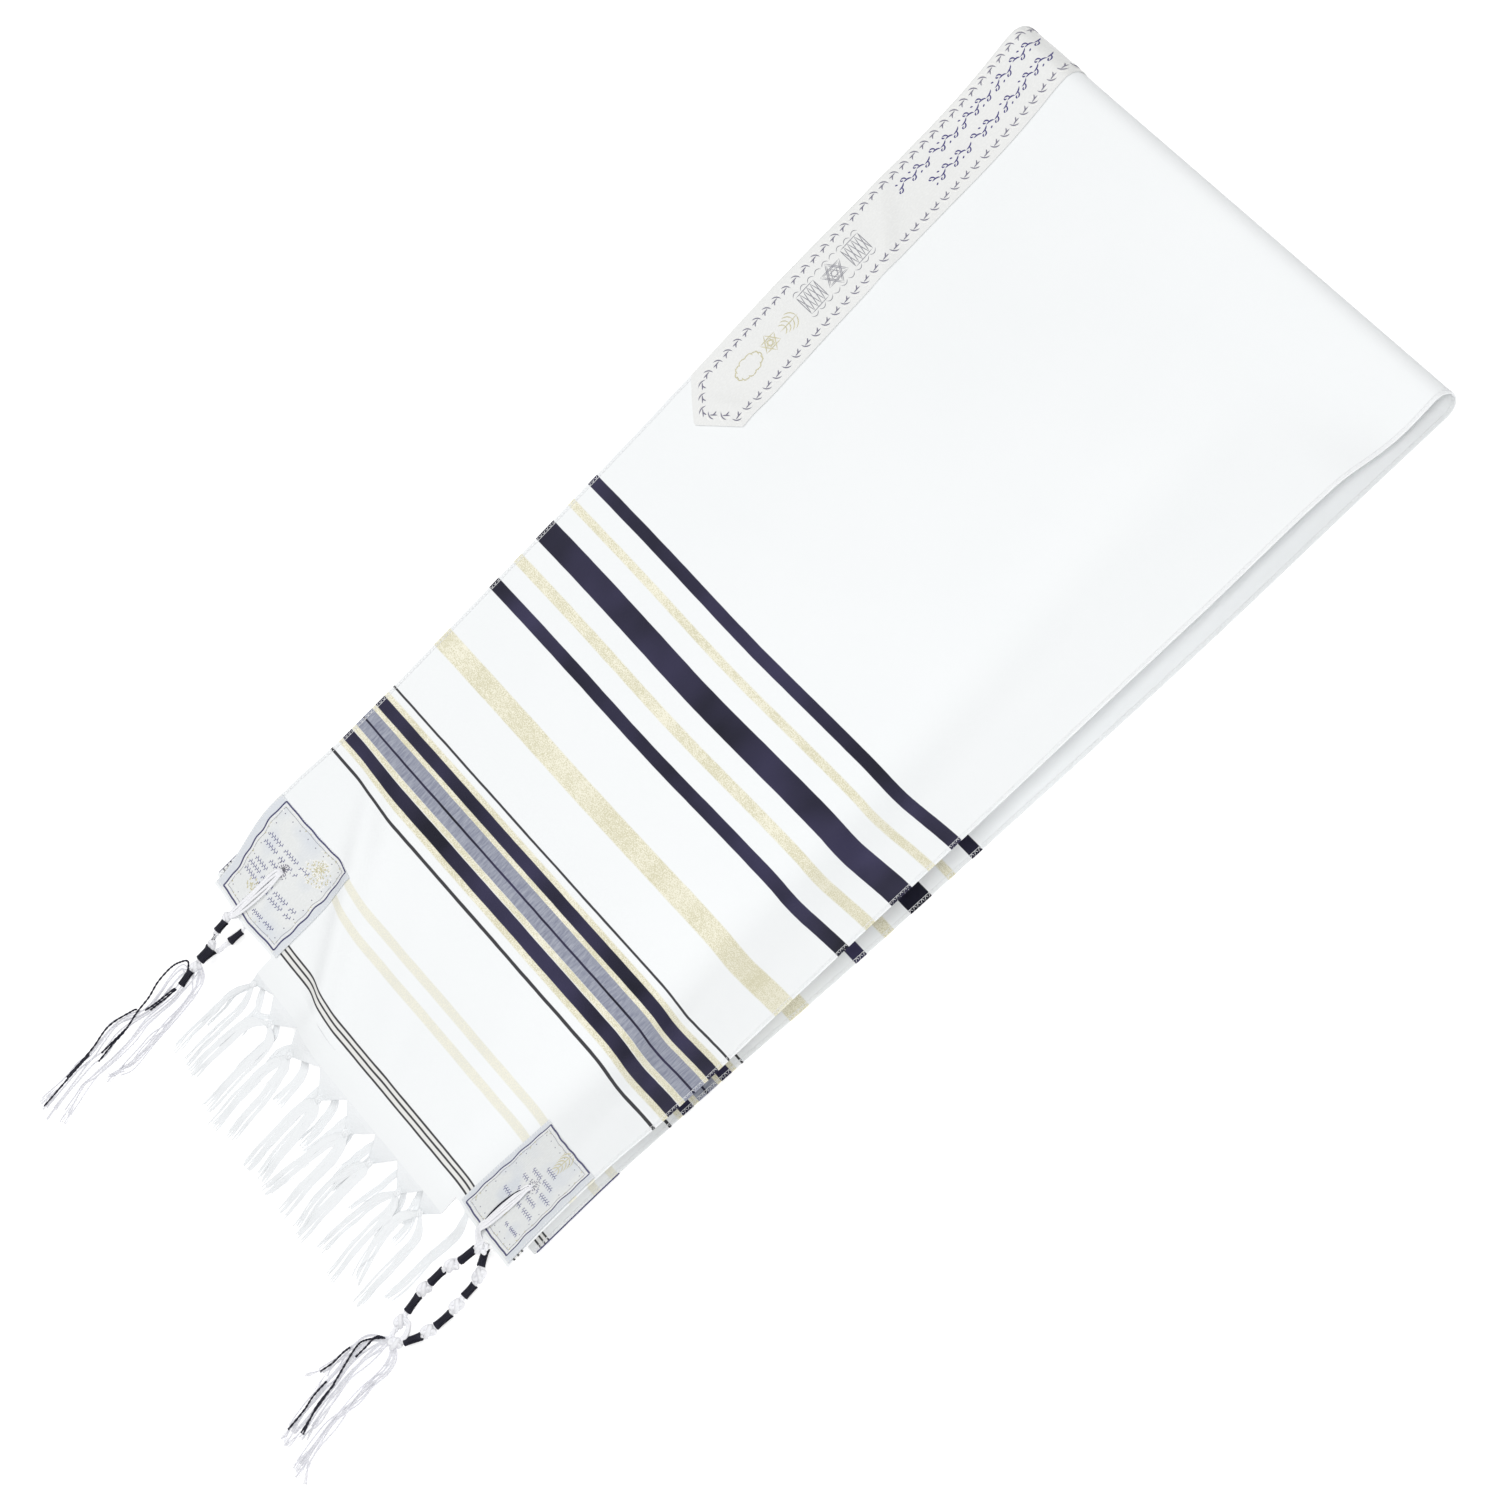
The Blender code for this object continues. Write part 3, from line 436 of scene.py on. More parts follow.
def woven_finish():
    """Plain weave in two thread directions; the bands are masks on the distance from the middle."""
    cloth = Finish("woven_cloth", WHITE, 0.80, {"Specular IOR Level": 0.18})
    across, along = cloth.flat()
    drift = cloth.noise(55.0, 2.0, (1.0, 2.4, 1.0)) - 0.5
    distance = abs(along) + drift * THREAD_DRIFT
    masks = {}
    for middle, width, yarn in STRIPES:
        fade = GOLD_FADE if "gold" in yarn else PLAIN_FADE
        inside = cloth.clamp((width / 2 - abs(distance - middle)) * (1 / fade) + 0.5)
        masks[yarn] = inside if yarn not in masks else cloth.clamp(masks[yarn] + inside)
    # The gold's mottling is partly its crepe grain and partly painted sheen; the broad glow noise is
    # painted sheen on soft folds.
    crepe = cloth.noise(820.0, 2.0, (1.0, 1.5, 1.0), 0.6)
    ripple = cloth.noise(210.0, 1.0, (1.0, 1.6, 1.0))
    painted_fold_sheen = cloth.noise(30.0, 2.0, (1.0, 0.3, 1.0))
    grain_and_painted_sheen = cloth.clamp((crepe - 0.5) * 6.0 + (ripple - 0.5) * 1.4 + (painted_fold_sheen - 0.5) * 1.8 + 0.5)
    gold = cloth.blend(grain_and_painted_sheen, GOLD, SHEEN_LIT_GOLD)
    slub = cloth.noise(620.0, 2.0, (1.0, 0.16, 1.0), 0.6)
    grey = cloth.blend(cloth.clamp((slub - 0.34) * 3.0), DEEP_GREY, GREY)
    # Painted sheen: broad patches of lighter navy over a painted-shade navy.
    depth = cloth.clamp(cloth.noise(14.0, 2.0, (1.0, 0.7, 1.0)) * 2.6 - 0.86)
    navy = cloth.blend(depth, SHADED_NAVY, NAVY)
    pale = cloth.blend(cloth.noise(7.0, 3.0), (0.852, 0.872, 0.880), (0.888, 0.902, 0.908))
    colour = cloth.blend(masks["pale grey"], pale, PALE_GREY)
    colour = cloth.blend(masks["gold"] + masks["pale gold"] * (grain_and_painted_sheen * 0.40 + 0.44), colour, gold)
    colour = cloth.blend(masks["grey"], colour, grey)
    colour = cloth.blend(masks["charcoal"], colour, CHARCOAL)
    cloth.set("Base Color", cloth.blend(masks["navy"], colour, navy))
    cloth.set("Roughness", 0.82 - masks["navy"] * 0.30 - masks["gold"] * (grain_and_painted_sheen * 0.20 + 0.20))
    cloth.set("Metallic", masks["gold"] * grain_and_painted_sheen * 0.12)
    plain = cloth.wave(across, PLAIN_PITCH) * cloth.wave(along, PLAIN_PITCH)
    satin = cloth.wave(across + along * 0.35, SATIN_PITCH)
    weft = cloth.wave(along + across * 0.05, WEFT_PITCH)
    weave = plain * (1 - masks["navy"] - masks["gold"]) + satin * masks["navy"] * 0.6
    weave = weave + (crepe * 4.0 - 2.0) * masks["gold"] + weft * masks["grey"] * 0.5
    cloth.bump(weave + (cloth.noise(240.0, 2.0) - 0.5) * 1.2, WEAVE_DEPTH, 0.5)
    return cloth


NET = upper_net()
WOVEN = woven_finish()
cloth_us = eyelet_lines(np.linspace(0.0, WIDTH, 113), EYELET_U, WIDTH - EYELET_U)
cloth_vs = np.concatenate([
    np.linspace(-LOWER, -QUARTER, 100)[:-1], np.linspace(-QUARTER, QUARTER, 15)[:-1],
    np.linspace(QUARTER, UPPER, 244)])
cloth_vs = eyelet_lines(cloth_vs, EYELET_V, other_half(EYELET_V))
net = round_eyelets(*np.meshgrid(cloth_us, cloth_vs, indexing="ij"))
cloth = make_piece("woven_cloth", [shell(*net, laid, WALL, off_eyelets(cloth_us, cloth_vs))],
                   WOVEN, ["cloth"])

# --- Edge stitching -------------------------------------------------------------------------------
# Both long edges are overlocked before the trimmings go on: a white thread zigzags over the face
# and another under it, from the very edge to a little inside, with a straight thread along them.
OVERLOCK_PITCH, OVERLOCK_DEPTH, OVERLOCK_THREAD, OVERLOCK_END = 0.0036, 0.0030, 0.00034, 0.002


def threads(lines, normals, wide, high, sides=5, shift=0.0):
    """Closed tubes along many lines at once: every point carries an ellipse, wide across the line and
    high along its normal (or one for them all), and both ends are closed.  The flat pair is (length,
    turn round)."""
    count, steps = lines.shape[:2]
    ahead = unit(np.gradient(lines, axis=1))
    side = unit(np.cross(ahead, normals))
    up = np.cross(side, ahead)
    turn = 2 * math.pi * np.arange(sides) / sides
    wide = (np.zeros((count, steps)) + wide)[..., None, None]
    high = (np.zeros((count, steps)) + high)[..., None, None]
    rings = lines[:, :, None] + side[:, :, None] * wide * np.cos(turn)[:, None]
    rings = rings + up[:, :, None] * high * np.sin(turn)[:, None]
    index = np.arange(count * steps * sides).reshape(count, steps, sides)
    after = np.roll(index, -1, axis=2)
    quads = np.stack([index[:, :-1], index[:, 1:], after[:, 1:], after[:, :-1]], -1)
    length = np.cumsum(np.linalg.norm(np.diff(lines, axis=1, prepend=lines[:, :1]), axis=-1), axis=1)
    length = (length + np.reshape(shift, (-1, 1)))[..., None] + np.zeros(sides)
    around = np.zeros_like(length) + np.arange(sides) / sides
    step = 1 / sides
    flat = np.stack([np.stack([length[:, a], around[:, a] + b * step], -1) for a, b in (
        (slice(None, -1), 0), (slice(1, None), 0), (slice(1, None), 1), (slice(None, -1), 1))], -2)
    caps = [index[:, 0], index[:, -1, ::-1]]
    cap_flat = [np.stack([length[:, end], around[:, end]], -1).reshape(-1, 2) for end in (0, -1)]
    faces = quads.reshape(-1, 4).tolist() + caps[0].tolist() + caps[1].tolist()
    return rings, faces, np.concatenate([flat.reshape(-1, 2), *cap_flat])


def threads_on(u, v, lift, wide, high, sides):
    """Tubes through places on the cloth, at a height over its middle."""
    u, v = np.atleast_2d(u), np.atleast_2d(v)
    return threads(laid(u, v, lift), outward(u, v), wide, high, sides)


def thread_finish(name, colour, roughness=0.6, pitch=0.0011, depth=0.5, shaded=0.86, constants=None):
    """Spun yarn: its plies twist round it with painted shade in the grooves between them, and its
    colour is uneven along it.
    """
    yarn = Finish(name, colour, roughness, constants)
    length, turn = yarn.flat()
    twist = yarn.wave(length * (1 / pitch) + turn, 1.0)
    # The shade is painted shade for the grooves between the plies, following the twist.
    shade = tuple(channel * shaded for channel in colour)
    uneven = yarn.noise(300.0, 2.0, (1.0, 0.004, 1.0))
    yarn.set("Base Color", yarn.blend(yarn.clamp(twist * 0.22 + uneven * 1.1), shade, colour))
    yarn.bump(twist, 0.00010, depth)
    return yarn


WHITE_THREAD = thread_finish("white_thread", (0.90, 0.91, 0.92), 0.55)
overlock = []
zigs = np.arange(-LOWER + OVERLOCK_END, UPPER - OVERLOCK_END, OVERLOCK_PITCH / 4)
reach = np.abs((zigs / OVERLOCK_PITCH) % 1.0 - 0.5) * 2
for edge, inward in ((0.0, 1.0), (WIDTH, -1.0)):
    for face in (1.0, -1.0):
        lift = face * (WALL / 2 + OVERLOCK_THREAD * 0.3)
        zigzag = edge + inward * (reach * (OVERLOCK_DEPTH + OVERLOCK_THREAD) - OVERLOCK_THREAD)
        overlock.append(threads_on(zigzag, zigs, lift * ease(reach * 6), OVERLOCK_THREAD,
                                   OVERLOCK_THREAD * 0.7, 3))
        inside = edge + inward * OVERLOCK_DEPTH + 0 * zigs[::3]
        overlock.append(threads_on(inside, zigs[::3], lift, OVERLOCK_THREAD * 0.8,
                                   OVERLOCK_THREAD * 0.6, 3))
make_piece("edge_overlock", overlock, WHITE_THREAD)

# --- Neckband -------------------------------------------------------------------------------------
# The atarah: a strip of pearl satin with pointed ends, whipped down over the middle of one long
# edge.  Sprigs are stitched round its border, and vines, stars, a lattice and gold leaves fill it.
TRIM_WALL = 0.0006
TRIM_LIFT = WALL / 2 + GAP + TRIM_WALL / 2
TRIM_TOP = TRIM_LIFT + TRIM_WALL / 2
BAND_MIDDLE = BAND_WIDTH / 2
BAND_TURN, BAND_CURL, STRAIGHT = 0.0015, 0.0065, 0.33
BAND_OUT, BAND_OUT_AT_TIP, BAND_OUT_FROM, BAND_OUT_OVER = 0.0072, 0.0020, 0.13, 0.24
PATCH_MARGIN = 0.0061


def satin_finish(name, colour, gleam, rib, zones=None):
    """Satin: long floats that gleam along the strip, fine ribs across, and soft unevenness; zones add
    a second colour in soft patches and in a margin along both sides of a patch."""
    satin = Finish(name, colour, 0.40, {"Sheen Weight": 0.12, "Sheen Roughness": 0.35})
    across, along = satin.flat()
    soft = satin.noise(38.0, 3.0, (1.0, 1.6, 1.0))
    base = satin.blend(soft, tuple(channel * 0.96 for channel in colour), colour)
    if zones:
        from_edge = satin.math("MINIMUM", across, WIDTH - across)
        from_middle = abs(from_edge - (TRIM_INSET + PATCH_WIDTH / 2))
        margin = satin.clamp((from_middle - (PATCH_WIDTH / 2 - PATCH_MARGIN)) * 700.0)
        cool = satin.clamp((satin.noise(34.0, 1.0) - 0.47) * 5.0)
        base = satin.blend(satin.clamp(margin + cool), base, zones)
    ribs = satin.wave(along, rib) * 0.5 + satin.wave(across, rib * 0.8) * 0.35
    grain = satin.noise(700.0, 2.0, (1.0, 0.5, 1.0))
    # Painted glints: away from the grain's peaks the colour is painted 7% darker.
    painted_glint = satin.clamp((grain - 0.42) * 2.4)
    dimmed = satin.blend(0.07, base, (0.0, 0.0, 0.0))
    base = satin.blend(painted_glint, dimmed, base)
    satin.set("Base Color", base)
    satin.set("Roughness", grain * 0.3 + gleam)
    satin.bump(ribs + (grain - 0.5) * 1.5, 0.00006, 0.6)
    return satin


def trim_place(u, v, lift):
    """A trimming's points, its wall's middle lying just off the cloth's outer side."""
    return laid(u, v, TRIM_LIFT + lift)


def band_shift(v):
    """How far the strip slides out over the edge: most near the fold, easing to less at its tips."""
    eased = ease((abs(v - FOLD_OFF_MIDDLE) - BAND_OUT_FROM) / BAND_OUT_OVER)
    return BAND_OUT - (BAND_OUT - BAND_OUT_AT_TIP) * eased


def on_band(places):
    """Places (b, v) on the strip, b from its outer edge, as places on the cloth."""
    b, v = places[..., 0], places[..., 1]
    return np.stack([TRIM_INSET + b - band_shift(v), v], -1)


def band_place(b, v, lift):
    """The strip's points: laid on the cloth, and past the edge turned under it on a round of its
    own height, as far as it reaches."""
    over = TRIM_INSET + b - band_shift(v)
    turn = np.clip(-over / BAND_TURN, 0.0, math.pi)[..., None]
    inner = np.maximum(over, 0.0)
    normal = outward(inner, v)
    side = unit(cloth_points(inner + 0.002, v) - cloth_points(inner, v))
    reach = (TRIM_LIFT + lift + 0 * b)[..., None]
    return cloth_points(inner, v) + reach * (normal * np.cos(turn) - side * np.sin(turn))


def band_end(b):
    """How far along the pointed end reaches at b: straight from each shoulder to the tip."""
    return BAND_TIP - (BAND_TIP - BAND_SHOULDER) * abs(b - BAND_MIDDLE) / (BAND_WIDTH / 2)


def mirrored(controls):
    """Strokes on the near half of the strip and the same ones on its far half."""
    return np.concatenate([controls, np.stack([controls[..., 0], other_half(controls[..., 1])], -1)])


band_bs, band_vs = np.meshgrid(
    np.concatenate([np.linspace(0.0, BAND_CURL, 7)[:-1], np.linspace(BAND_CURL, BAND_WIDTH, 25)]),
    np.concatenate([np.linspace(other_half(BAND_TIP), -QUARTER, 120)[:-1],
                    np.linspace(-QUARTER, QUARTER, 15)[:-1],
                    np.linspace(QUARTER, BAND_TIP, 130)]), indexing="ij")
beyond = (band_end(band_bs) - STRAIGHT) / (BAND_TIP - STRAIGHT)
far = other_half(STRAIGHT)
near_side = np.where(band_vs > STRAIGHT, STRAIGHT + (band_vs - STRAIGHT) * beyond, band_vs)
band_vs = np.where(band_vs < far, far - (far - band_vs) * beyond, near_side)
PEARL = satin_finish("pearl_satin", (0.832, 0.838, 0.828), 0.26, 0.0009)
make_piece("neckband_satin", [shell(band_bs, band_vs, band_place, TRIM_WALL)],
           PEARL, ["neckband"])


def stitches(controls, wide, high=0.00022, steps=6, sides=4):
    """Raised stitches on a trimming, each a quadratic curve between three control points: it rises
    from the satin, swells and dips back into it."""
    controls = np.asarray(controls, float)
    t = np.linspace(0.0, 1.0, steps)[:, None]
    first, second, third = controls[:, None, 0], controls[:, None, 1], controls[:, None, 2]
    run = first * (1 - t) ** 2 + 2 * second * t * (1 - t) + third * t ** 2
    swell = np.sin(np.pi * t[:, 0]) ** 0.6
    u, v = run[..., 0], run[..., 1]
    lift = TRIM_TOP + high * (swell - 0.55)
    return threads_on(u, v, lift, wide * (0.35 + 0.65 * swell), high, sides)


def sew(motif, at, turn=0.0, size=0.001):
    """A motif's strokes, in millimetres, turned and set at each place: (count, 3, 2)."""
    motif = np.asarray(motif, float) * size
    at = np.asarray(at, float).reshape(-1, 1, 1, 2)
    turn = np.broadcast_to(turn, at.shape[:1])[:, None, None]
    x, y = motif[None, ..., 0], motif[None, ..., 1]
    spun = np.stack([x * np.cos(turn) - y * np.sin(turn), x * np.sin(turn) + y * np.cos(turn)], -1)
    return (at + spun).reshape(-1, 3, 2)


def paced(corners, pitch):
    """Places a pitch apart along straight legs between corners, and each one's way ahead."""
    corners = np.asarray(corners, float)
    legs = np.diff(corners, axis=0)
    length = np.linalg.norm(legs, axis=1)
    ends = np.concatenate([[0.0], np.cumsum(length)])
    at = (np.arange(round(ends[-1] / pitch)) + 0.5) * ends[-1] / round(ends[-1] / pitch)
    leg = np.clip(np.searchsorted(ends, at) - 1, 0, len(legs) - 1)
    where = corners[leg] + legs[leg] * ((at - ends[leg]) / length[leg])[:, None]
    return where, legs[leg] / length[leg][:, None]


def overcast(corners, pitch, depth):
    """Slanted stitches over an edge, with the piece on the left of the way round."""
    where, way = paced(corners, pitch)
    inward = np.stack([-way[:, 1], way[:, 0]], -1) * depth
    return np.stack([where + inward, where + inward * 0.5 + way * pitch * 0.25,
                     where + way * pitch * 0.5], 1)


def band_outline(outer, inner):
    """The strip's corners at an inset from its outer and its inner edge, the piece on the left: down
    the far half, round, and back.  The slant of its points draws the tips in most."""
    low, high = outer, BAND_WIDTH - inner
    shoulder, tip = BAND_SHOULDER - inner * 0.45, BAND_TIP - inner * 1.26
    far_shoulder, far_tip = other_half(shoulder), other_half(tip)
    return [(low, far_shoulder), (BAND_MIDDLE, far_tip), (high, far_shoulder),
            (high, shoulder), (BAND_MIDDLE, tip), (low, shoulder), (low, far_shoulder)]


# Strokes as start, bend and end, in millimetres: x out towards the edge, y along it
TWIG = [[(-3.0, 4.8), (2.2, 3.8), (2.8, -0.8)], [(-0.2, 3.0), (-0.6, 0.0), (-0.4, -3.6)],
        [(-0.4, 0.6), (-1.4, -1.4), (-3.4, -2.2)]]
TWIG_LIGHT = [[(1.0, 1.8), (2.2, -1.0), (0.8, -4.0)], [(-2.0, 5.8), (3.2, 5.4), (4.4, 1.0)],
              [(-1.8, 0.4), (-2.8, -0.4), (-4.0, -0.2)]]
GREY_SILK = thread_finish("grey_silk", (0.200, 0.190, 0.265), 0.42, 0.0006, 0.4)
LIGHT_SILK = thread_finish("light_silk", (0.93, 0.93, 0.91), 0.30, 0.0006, 0.4)
VIOLET_SILK = thread_finish("violet_silk", (0.050, 0.041, 0.210), 0.45, 0.0006, 0.4)
LILAC_SILK = thread_finish("lilac_silk", (0.090, 0.088, 0.265), 0.45, 0.0006, 0.4)
SILVER_THREAD = thread_finish("silver_thread", (0.36, 0.36, 0.40), 0.35, 0.0005, 0.5,
                              constants={"Metallic": 0.2})
GOLD_THREAD = thread_finish("gold_thread", (0.68, 0.64, 0.43), 0.35, 0.0005, 0.5,
                            constants={"Metallic": 0.2})

TWIGS_OUTER, TWIGS_INNER, TWIG_PITCH = 0.0098, 0.0080, 0.0109
TWIG_WIDE, TWIG_LIGHT_WIDE = 0.00050, 0.00062
WHIP_INSET, WHIP_PITCH, WHIP_HALF, WHIP_WIDE, WHIP_HIGH = 0.0012, 0.0024, 0.0007, 0.00026, 0.00012
where, way = paced(band_outline(TWIGS_OUTER, TWIGS_INNER), TWIG_PITCH)
heading = np.arctan2(-way[:, 0], way[:, 1])
make_piece("neckband_twigs", [stitches(on_band(sew(TWIG, where, heading)), TWIG_WIDE)],
           GREY_SILK)
light = stitches(on_band(sew(TWIG_LIGHT, where, heading)), TWIG_LIGHT_WIDE)
where, way = paced(band_outline(WHIP_INSET, WHIP_INSET)[1:5], WHIP_PITCH)
sewn_down = np.stack([where - way * WHIP_HALF, where, where + way * WHIP_HALF], 1)
make_piece("neckband_light_stitches",
           [light, stitches(on_band(sewn_down), WHIP_WIDE, WHIP_HIGH, steps=4)],
           LIGHT_SILK)

# Two rows of vines in groups: pieces of waving stem, each with a bold leaf to either side in turn and
# most with a bud opposite, the last of the strokes
VINE = np.array([[(-0.9, -2.6), (1.3, -0.8), (0.9, 2.9)], [(0.6, 0.2), (3.9, 0.2), (3.6, 3.2)],
                 [(1.9, 2.2), (2.6, 4.3), (3.6, 3.2)], [(-2.4, 0.9), (-3.1, 1.6), (-3.2, 2.6)]])
VINE_PITCH, VINE_SIZE, VINE_WIDE = 0.0070, 0.00125, 0.00060
VINE_GROUPS = [
    # place across the strip, then where each group starts and how many pieces it has
    (0.0225, [(0.012, 4), (0.042, 3), (0.066, 5), (0.103, 4), (0.134, 5)]),
    (0.0402, [(0.014, 5), (0.050, 3), (0.074, 4), (0.105, 6)]),
]
vines = []
for across, groups in VINE_GROUPS:
    for first, count in groups:
        for number in range(count):
            strokes = VINE if number % 3 else VINE[:3]
            mirror = ((-1.0) ** number, 1.0)
            vines.append(strokes * mirror * VINE_SIZE + (across, first + number * VINE_PITCH))
make_piece("neckband_vines", [stitches(on_band(mirrored(np.concatenate(vines))), VINE_WIDE)],
           VIOLET_SILK)


def straight(starts, ends):
    """Straight strokes from starts to ends."""
    starts, ends = np.asarray(starts, float), np.asarray(ends, float)
    return np.stack([starts, (starts + ends) / 2, ends], 1)


def star(at, radius, turn=0.0):
    """A six-point star in outline: two triangles, each side one straight stroke."""
    corners = turn + np.arange(6) * math.pi / 3
    points = np.stack([np.cos(corners), np.sin(corners)], -1) * radius + at
    return straight(points, points[(np.arange(6) + 2) % 6])


# Two blocks of lattice with a star between them, and scallops along both sides
LATTICE_B, LATTICE_V, LATTICE_HALF, LATTICE_FROM, LATTICE_TO = 0.0325, 0.2445, 0.0100, 0.0150, 0.0340
LATTICE_WIDE, LATTICE_HIGH, LATTICE_STARS = 0.00036, 0.00018, (0.0120, 0.0098, 0.0048)
SCALLOP_GAP, SCALLOP_DEEP, SCALLOP_HALF, SCALLOP_PITCH = 0.0014, 0.0052, 0.0035, 0.0080
silver = [star((LATTICE_B, LATTICE_V), radius) for radius in LATTICE_STARS]
low, high = LATTICE_B - LATTICE_HALF, LATTICE_B + LATTICE_HALF
for end in (-1, 1):
    rows = np.linspace(LATTICE_FROM, LATTICE_TO, 6) * end + LATTICE_V
    left, right = np.stack([low + 0 * rows, rows], -1), np.stack([high + 0 * rows, rows], -1)
    silver += [straight(left[::5], right[::5]), straight(left[:-1], right[1:]),
               straight(right[:-1], left[1:]), straight([left[0], right[0]], [left[-1], right[-1]])]
spots = np.arange(-4.0, 4.5) * SCALLOP_PITCH + LATTICE_V
for edge, out in ((low - SCALLOP_GAP, -1), (high + SCALLOP_GAP, 1)):
    starts = np.stack([edge + 0 * spots, spots - SCALLOP_HALF], -1)
    silver.append(np.stack([starts, starts + (out * SCALLOP_DEEP, SCALLOP_HALF),
                            starts + (0.0, 2 * SCALLOP_HALF)], 1))
silver = on_band(mirrored(np.concatenate(silver)))
make_piece("neckband_lattice", [stitches(silver, LATTICE_WIDE, LATTICE_HIGH, steps=7)],
           SILVER_THREAD)


def leaf_sprig(at, length, pairs, way=1.0):
    """A stem with pairs of leaves that shorten towards its tip: each leaf is one bowed stroke."""
    at = np.array(at)
    strokes = [[at, at + (0.0006, way * length / 2), at + (0.0, way * length)]]
    for pair in range(pairs):
        share = (pair + 0.4) / pairs
        root = at + (0.0, way * length * share * 0.82)
        size = length * 0.40 * (1.15 - 0.6 * share)
        for side in (-1, 1):
            tip = root + (side * size, way * size * 0.85)
            strokes.append([root, root + (side * size * 0.85, way * size * 0.10), tip])
    return np.array(strokes)


# In gold: a wreath of leaves, a small star and a sprig
LEAFLET = [[(-1.6, 0.0), (0.0, -1.0), (1.8, 0.2)]]
WREATH_V, WREATH_ACROSS, WREATH_ALONG, WREATH_LEAVES = 0.340, 0.0075, 0.0125, 22
STAR_AT, SPRIG_AT, SPRIG_LONG = (BAND_MIDDLE, 0.3160), (BAND_MIDDLE, 0.286), 0.019
GOLD_WIDE, GOLD_HIGH = 0.00046, 0.0002
leaves = np.arange(WREATH_LEAVES)
turns = leaves * 2 * math.pi / WREATH_LEAVES
wreath = np.stack([WREATH_ACROSS * np.cos(turns), WREATH_ALONG * np.sin(turns)], -1)
slant = np.where(leaves % 2 == 0, 1.15, 1.95)
gold = np.concatenate([
    sew(LEAFLET, wreath + (BAND_MIDDLE, WREATH_V), turns + slant, 0.0014),
    leaf_sprig(SPRIG_AT, SPRIG_LONG, 4), star(STAR_AT, 0.0088), star(STAR_AT, 0.0040, math.pi / 6)])
make_piece("neckband_gold_leaves",
           [stitches(on_band(mirrored(gold)), GOLD_WIDE, GOLD_HIGH, steps=7)],
           GOLD_THREAD)

# --- Corner patches -------------------------------------------------------------------------------
# Four pieces of pale satin, one at each corner, edged in navy satin stitch with a metal running
# stitch inside it.  Rows of small vines, a gold flower or sprig and a worked eyelet fill them.
ICE = satin_finish("ice_satin", (0.815, 0.832, 0.828), 0.30, 0.0010, zones=(0.710, 0.742, 0.785))
NAVY_SILK = thread_finish("navy_silk", (0.060, 0.058, 0.160), 0.45, 0.0006, 0.5)
LITTLE_VINE = [[(-0.4, -1.9), (0.9, -1.0), (0.0, 0.0)], [(0.0, 0.0), (-0.9, 1.0), (0.4, 1.9)],
               [(0.3, -1.0), (1.8, -1.6), (2.2, 0.1)], [(-0.3, 0.9), (-1.8, 0.4), (-2.2, 2.0)]]
FLOWER = [[(0.0, 0.0), (1.6 * math.cos(a + 0.5), 1.6 * math.sin(a + 0.5)),
           (3.2 * math.cos(a), 3.2 * math.sin(a))] for a in np.arange(12) * math.pi / 6]
ROWS = {
    # side: rows of (distance from the cloth's end, from, to), measured from the cloth's edge
    "left": [(0.0625, 0.016, 0.068), (0.0555, 0.016, 0.062), (0.0480, 0.032, 0.044),
             (0.0410, 0.018, 0.036), (0.0350, 0.014, 0.084), (0.0290, 0.014, 0.086),
             (0.0140, 0.052, 0.082)],
    "right": [(0.0670, 0.034, 0.056), (0.0590, 0.026, 0.066), (0.0510, 0.016, 0.070),
              (0.0425, 0.026, 0.062), (0.0345, 0.018, 0.074), (0.0190, 0.016, 0.038)],
}
PATCH_FROM = 0.0008
FRAME_SIDE, FRAME_END, FRAME_TOP = 0.0060, 0.0022, 0.0010
FRAME_WAVES, FRAME_PHASES = (0.0003, 0.0009, 0.0003, 0.0009), (0.4, 1.7, 2.9, 4.4)
NAVY_INSET, RUN_INSET, METAL_INSET, FLECK_INSET, DOT_INSET = 0.0, 0.0016, 0.0032, 0.0036, 0.0068
NAVY_WIDE, METAL_WIDE, LINE_HIGH, LINE_LIFT = 0.00066, 0.00020, 0.00018, 0.00004
FLECK_SHARE, FLECK_OFF, FLECK_LONG, DOT_HALF = 0.55, 0.0004, 0.0006, (0.0004, 0.0003)
VINE_ROW_SIZE, LAST_ROW_SIZE, LAST_ROW_AT, ROW_GAP, EYELET_FREE = 0.00090, 0.00072, 0.02, 6, 0.0065
# Places on a patch, from the cloth's edge and its end
BLOOM_AT, SPECKS_AT, LOW_SPECKS_AT = (0.072, 0.0720), (0.073, 0.0680), (0.034, 0.0240)
LEAVES_AT, LITTLE_BLOOM_AT = (0.042, 0.0885), (0.050, 0.0235)
SPECK_HALF, RIM, SPOKES = 0.0009, (0.0030, 0.0041, 0.0052), 28
OVERCAST_PITCH, OVERCAST_DEPTH = 0.0024, 0.0018
BINDING_WIDE, BINDING_HIGH = 0.0006, 0.0007
patch_random = np.random.default_rng(36)


def scattered(at, radius, count):
    """Short straight strokes thrown about a place, thinner towards its rim."""
    out = radius * patch_random.uniform(0.0, 1.0, count) ** 0.7
    turn, heading = patch_random.uniform(0, 2 * math.pi, (2, count))
    middle = np.array(at) + np.stack([np.cos(turn), np.sin(turn) * 0.8], -1) * out[:, None]
    reach = np.stack([np.cos(heading), np.sin(heading)], -1) * SPECK_HALF
    return straight(middle - reach, middle + reach)


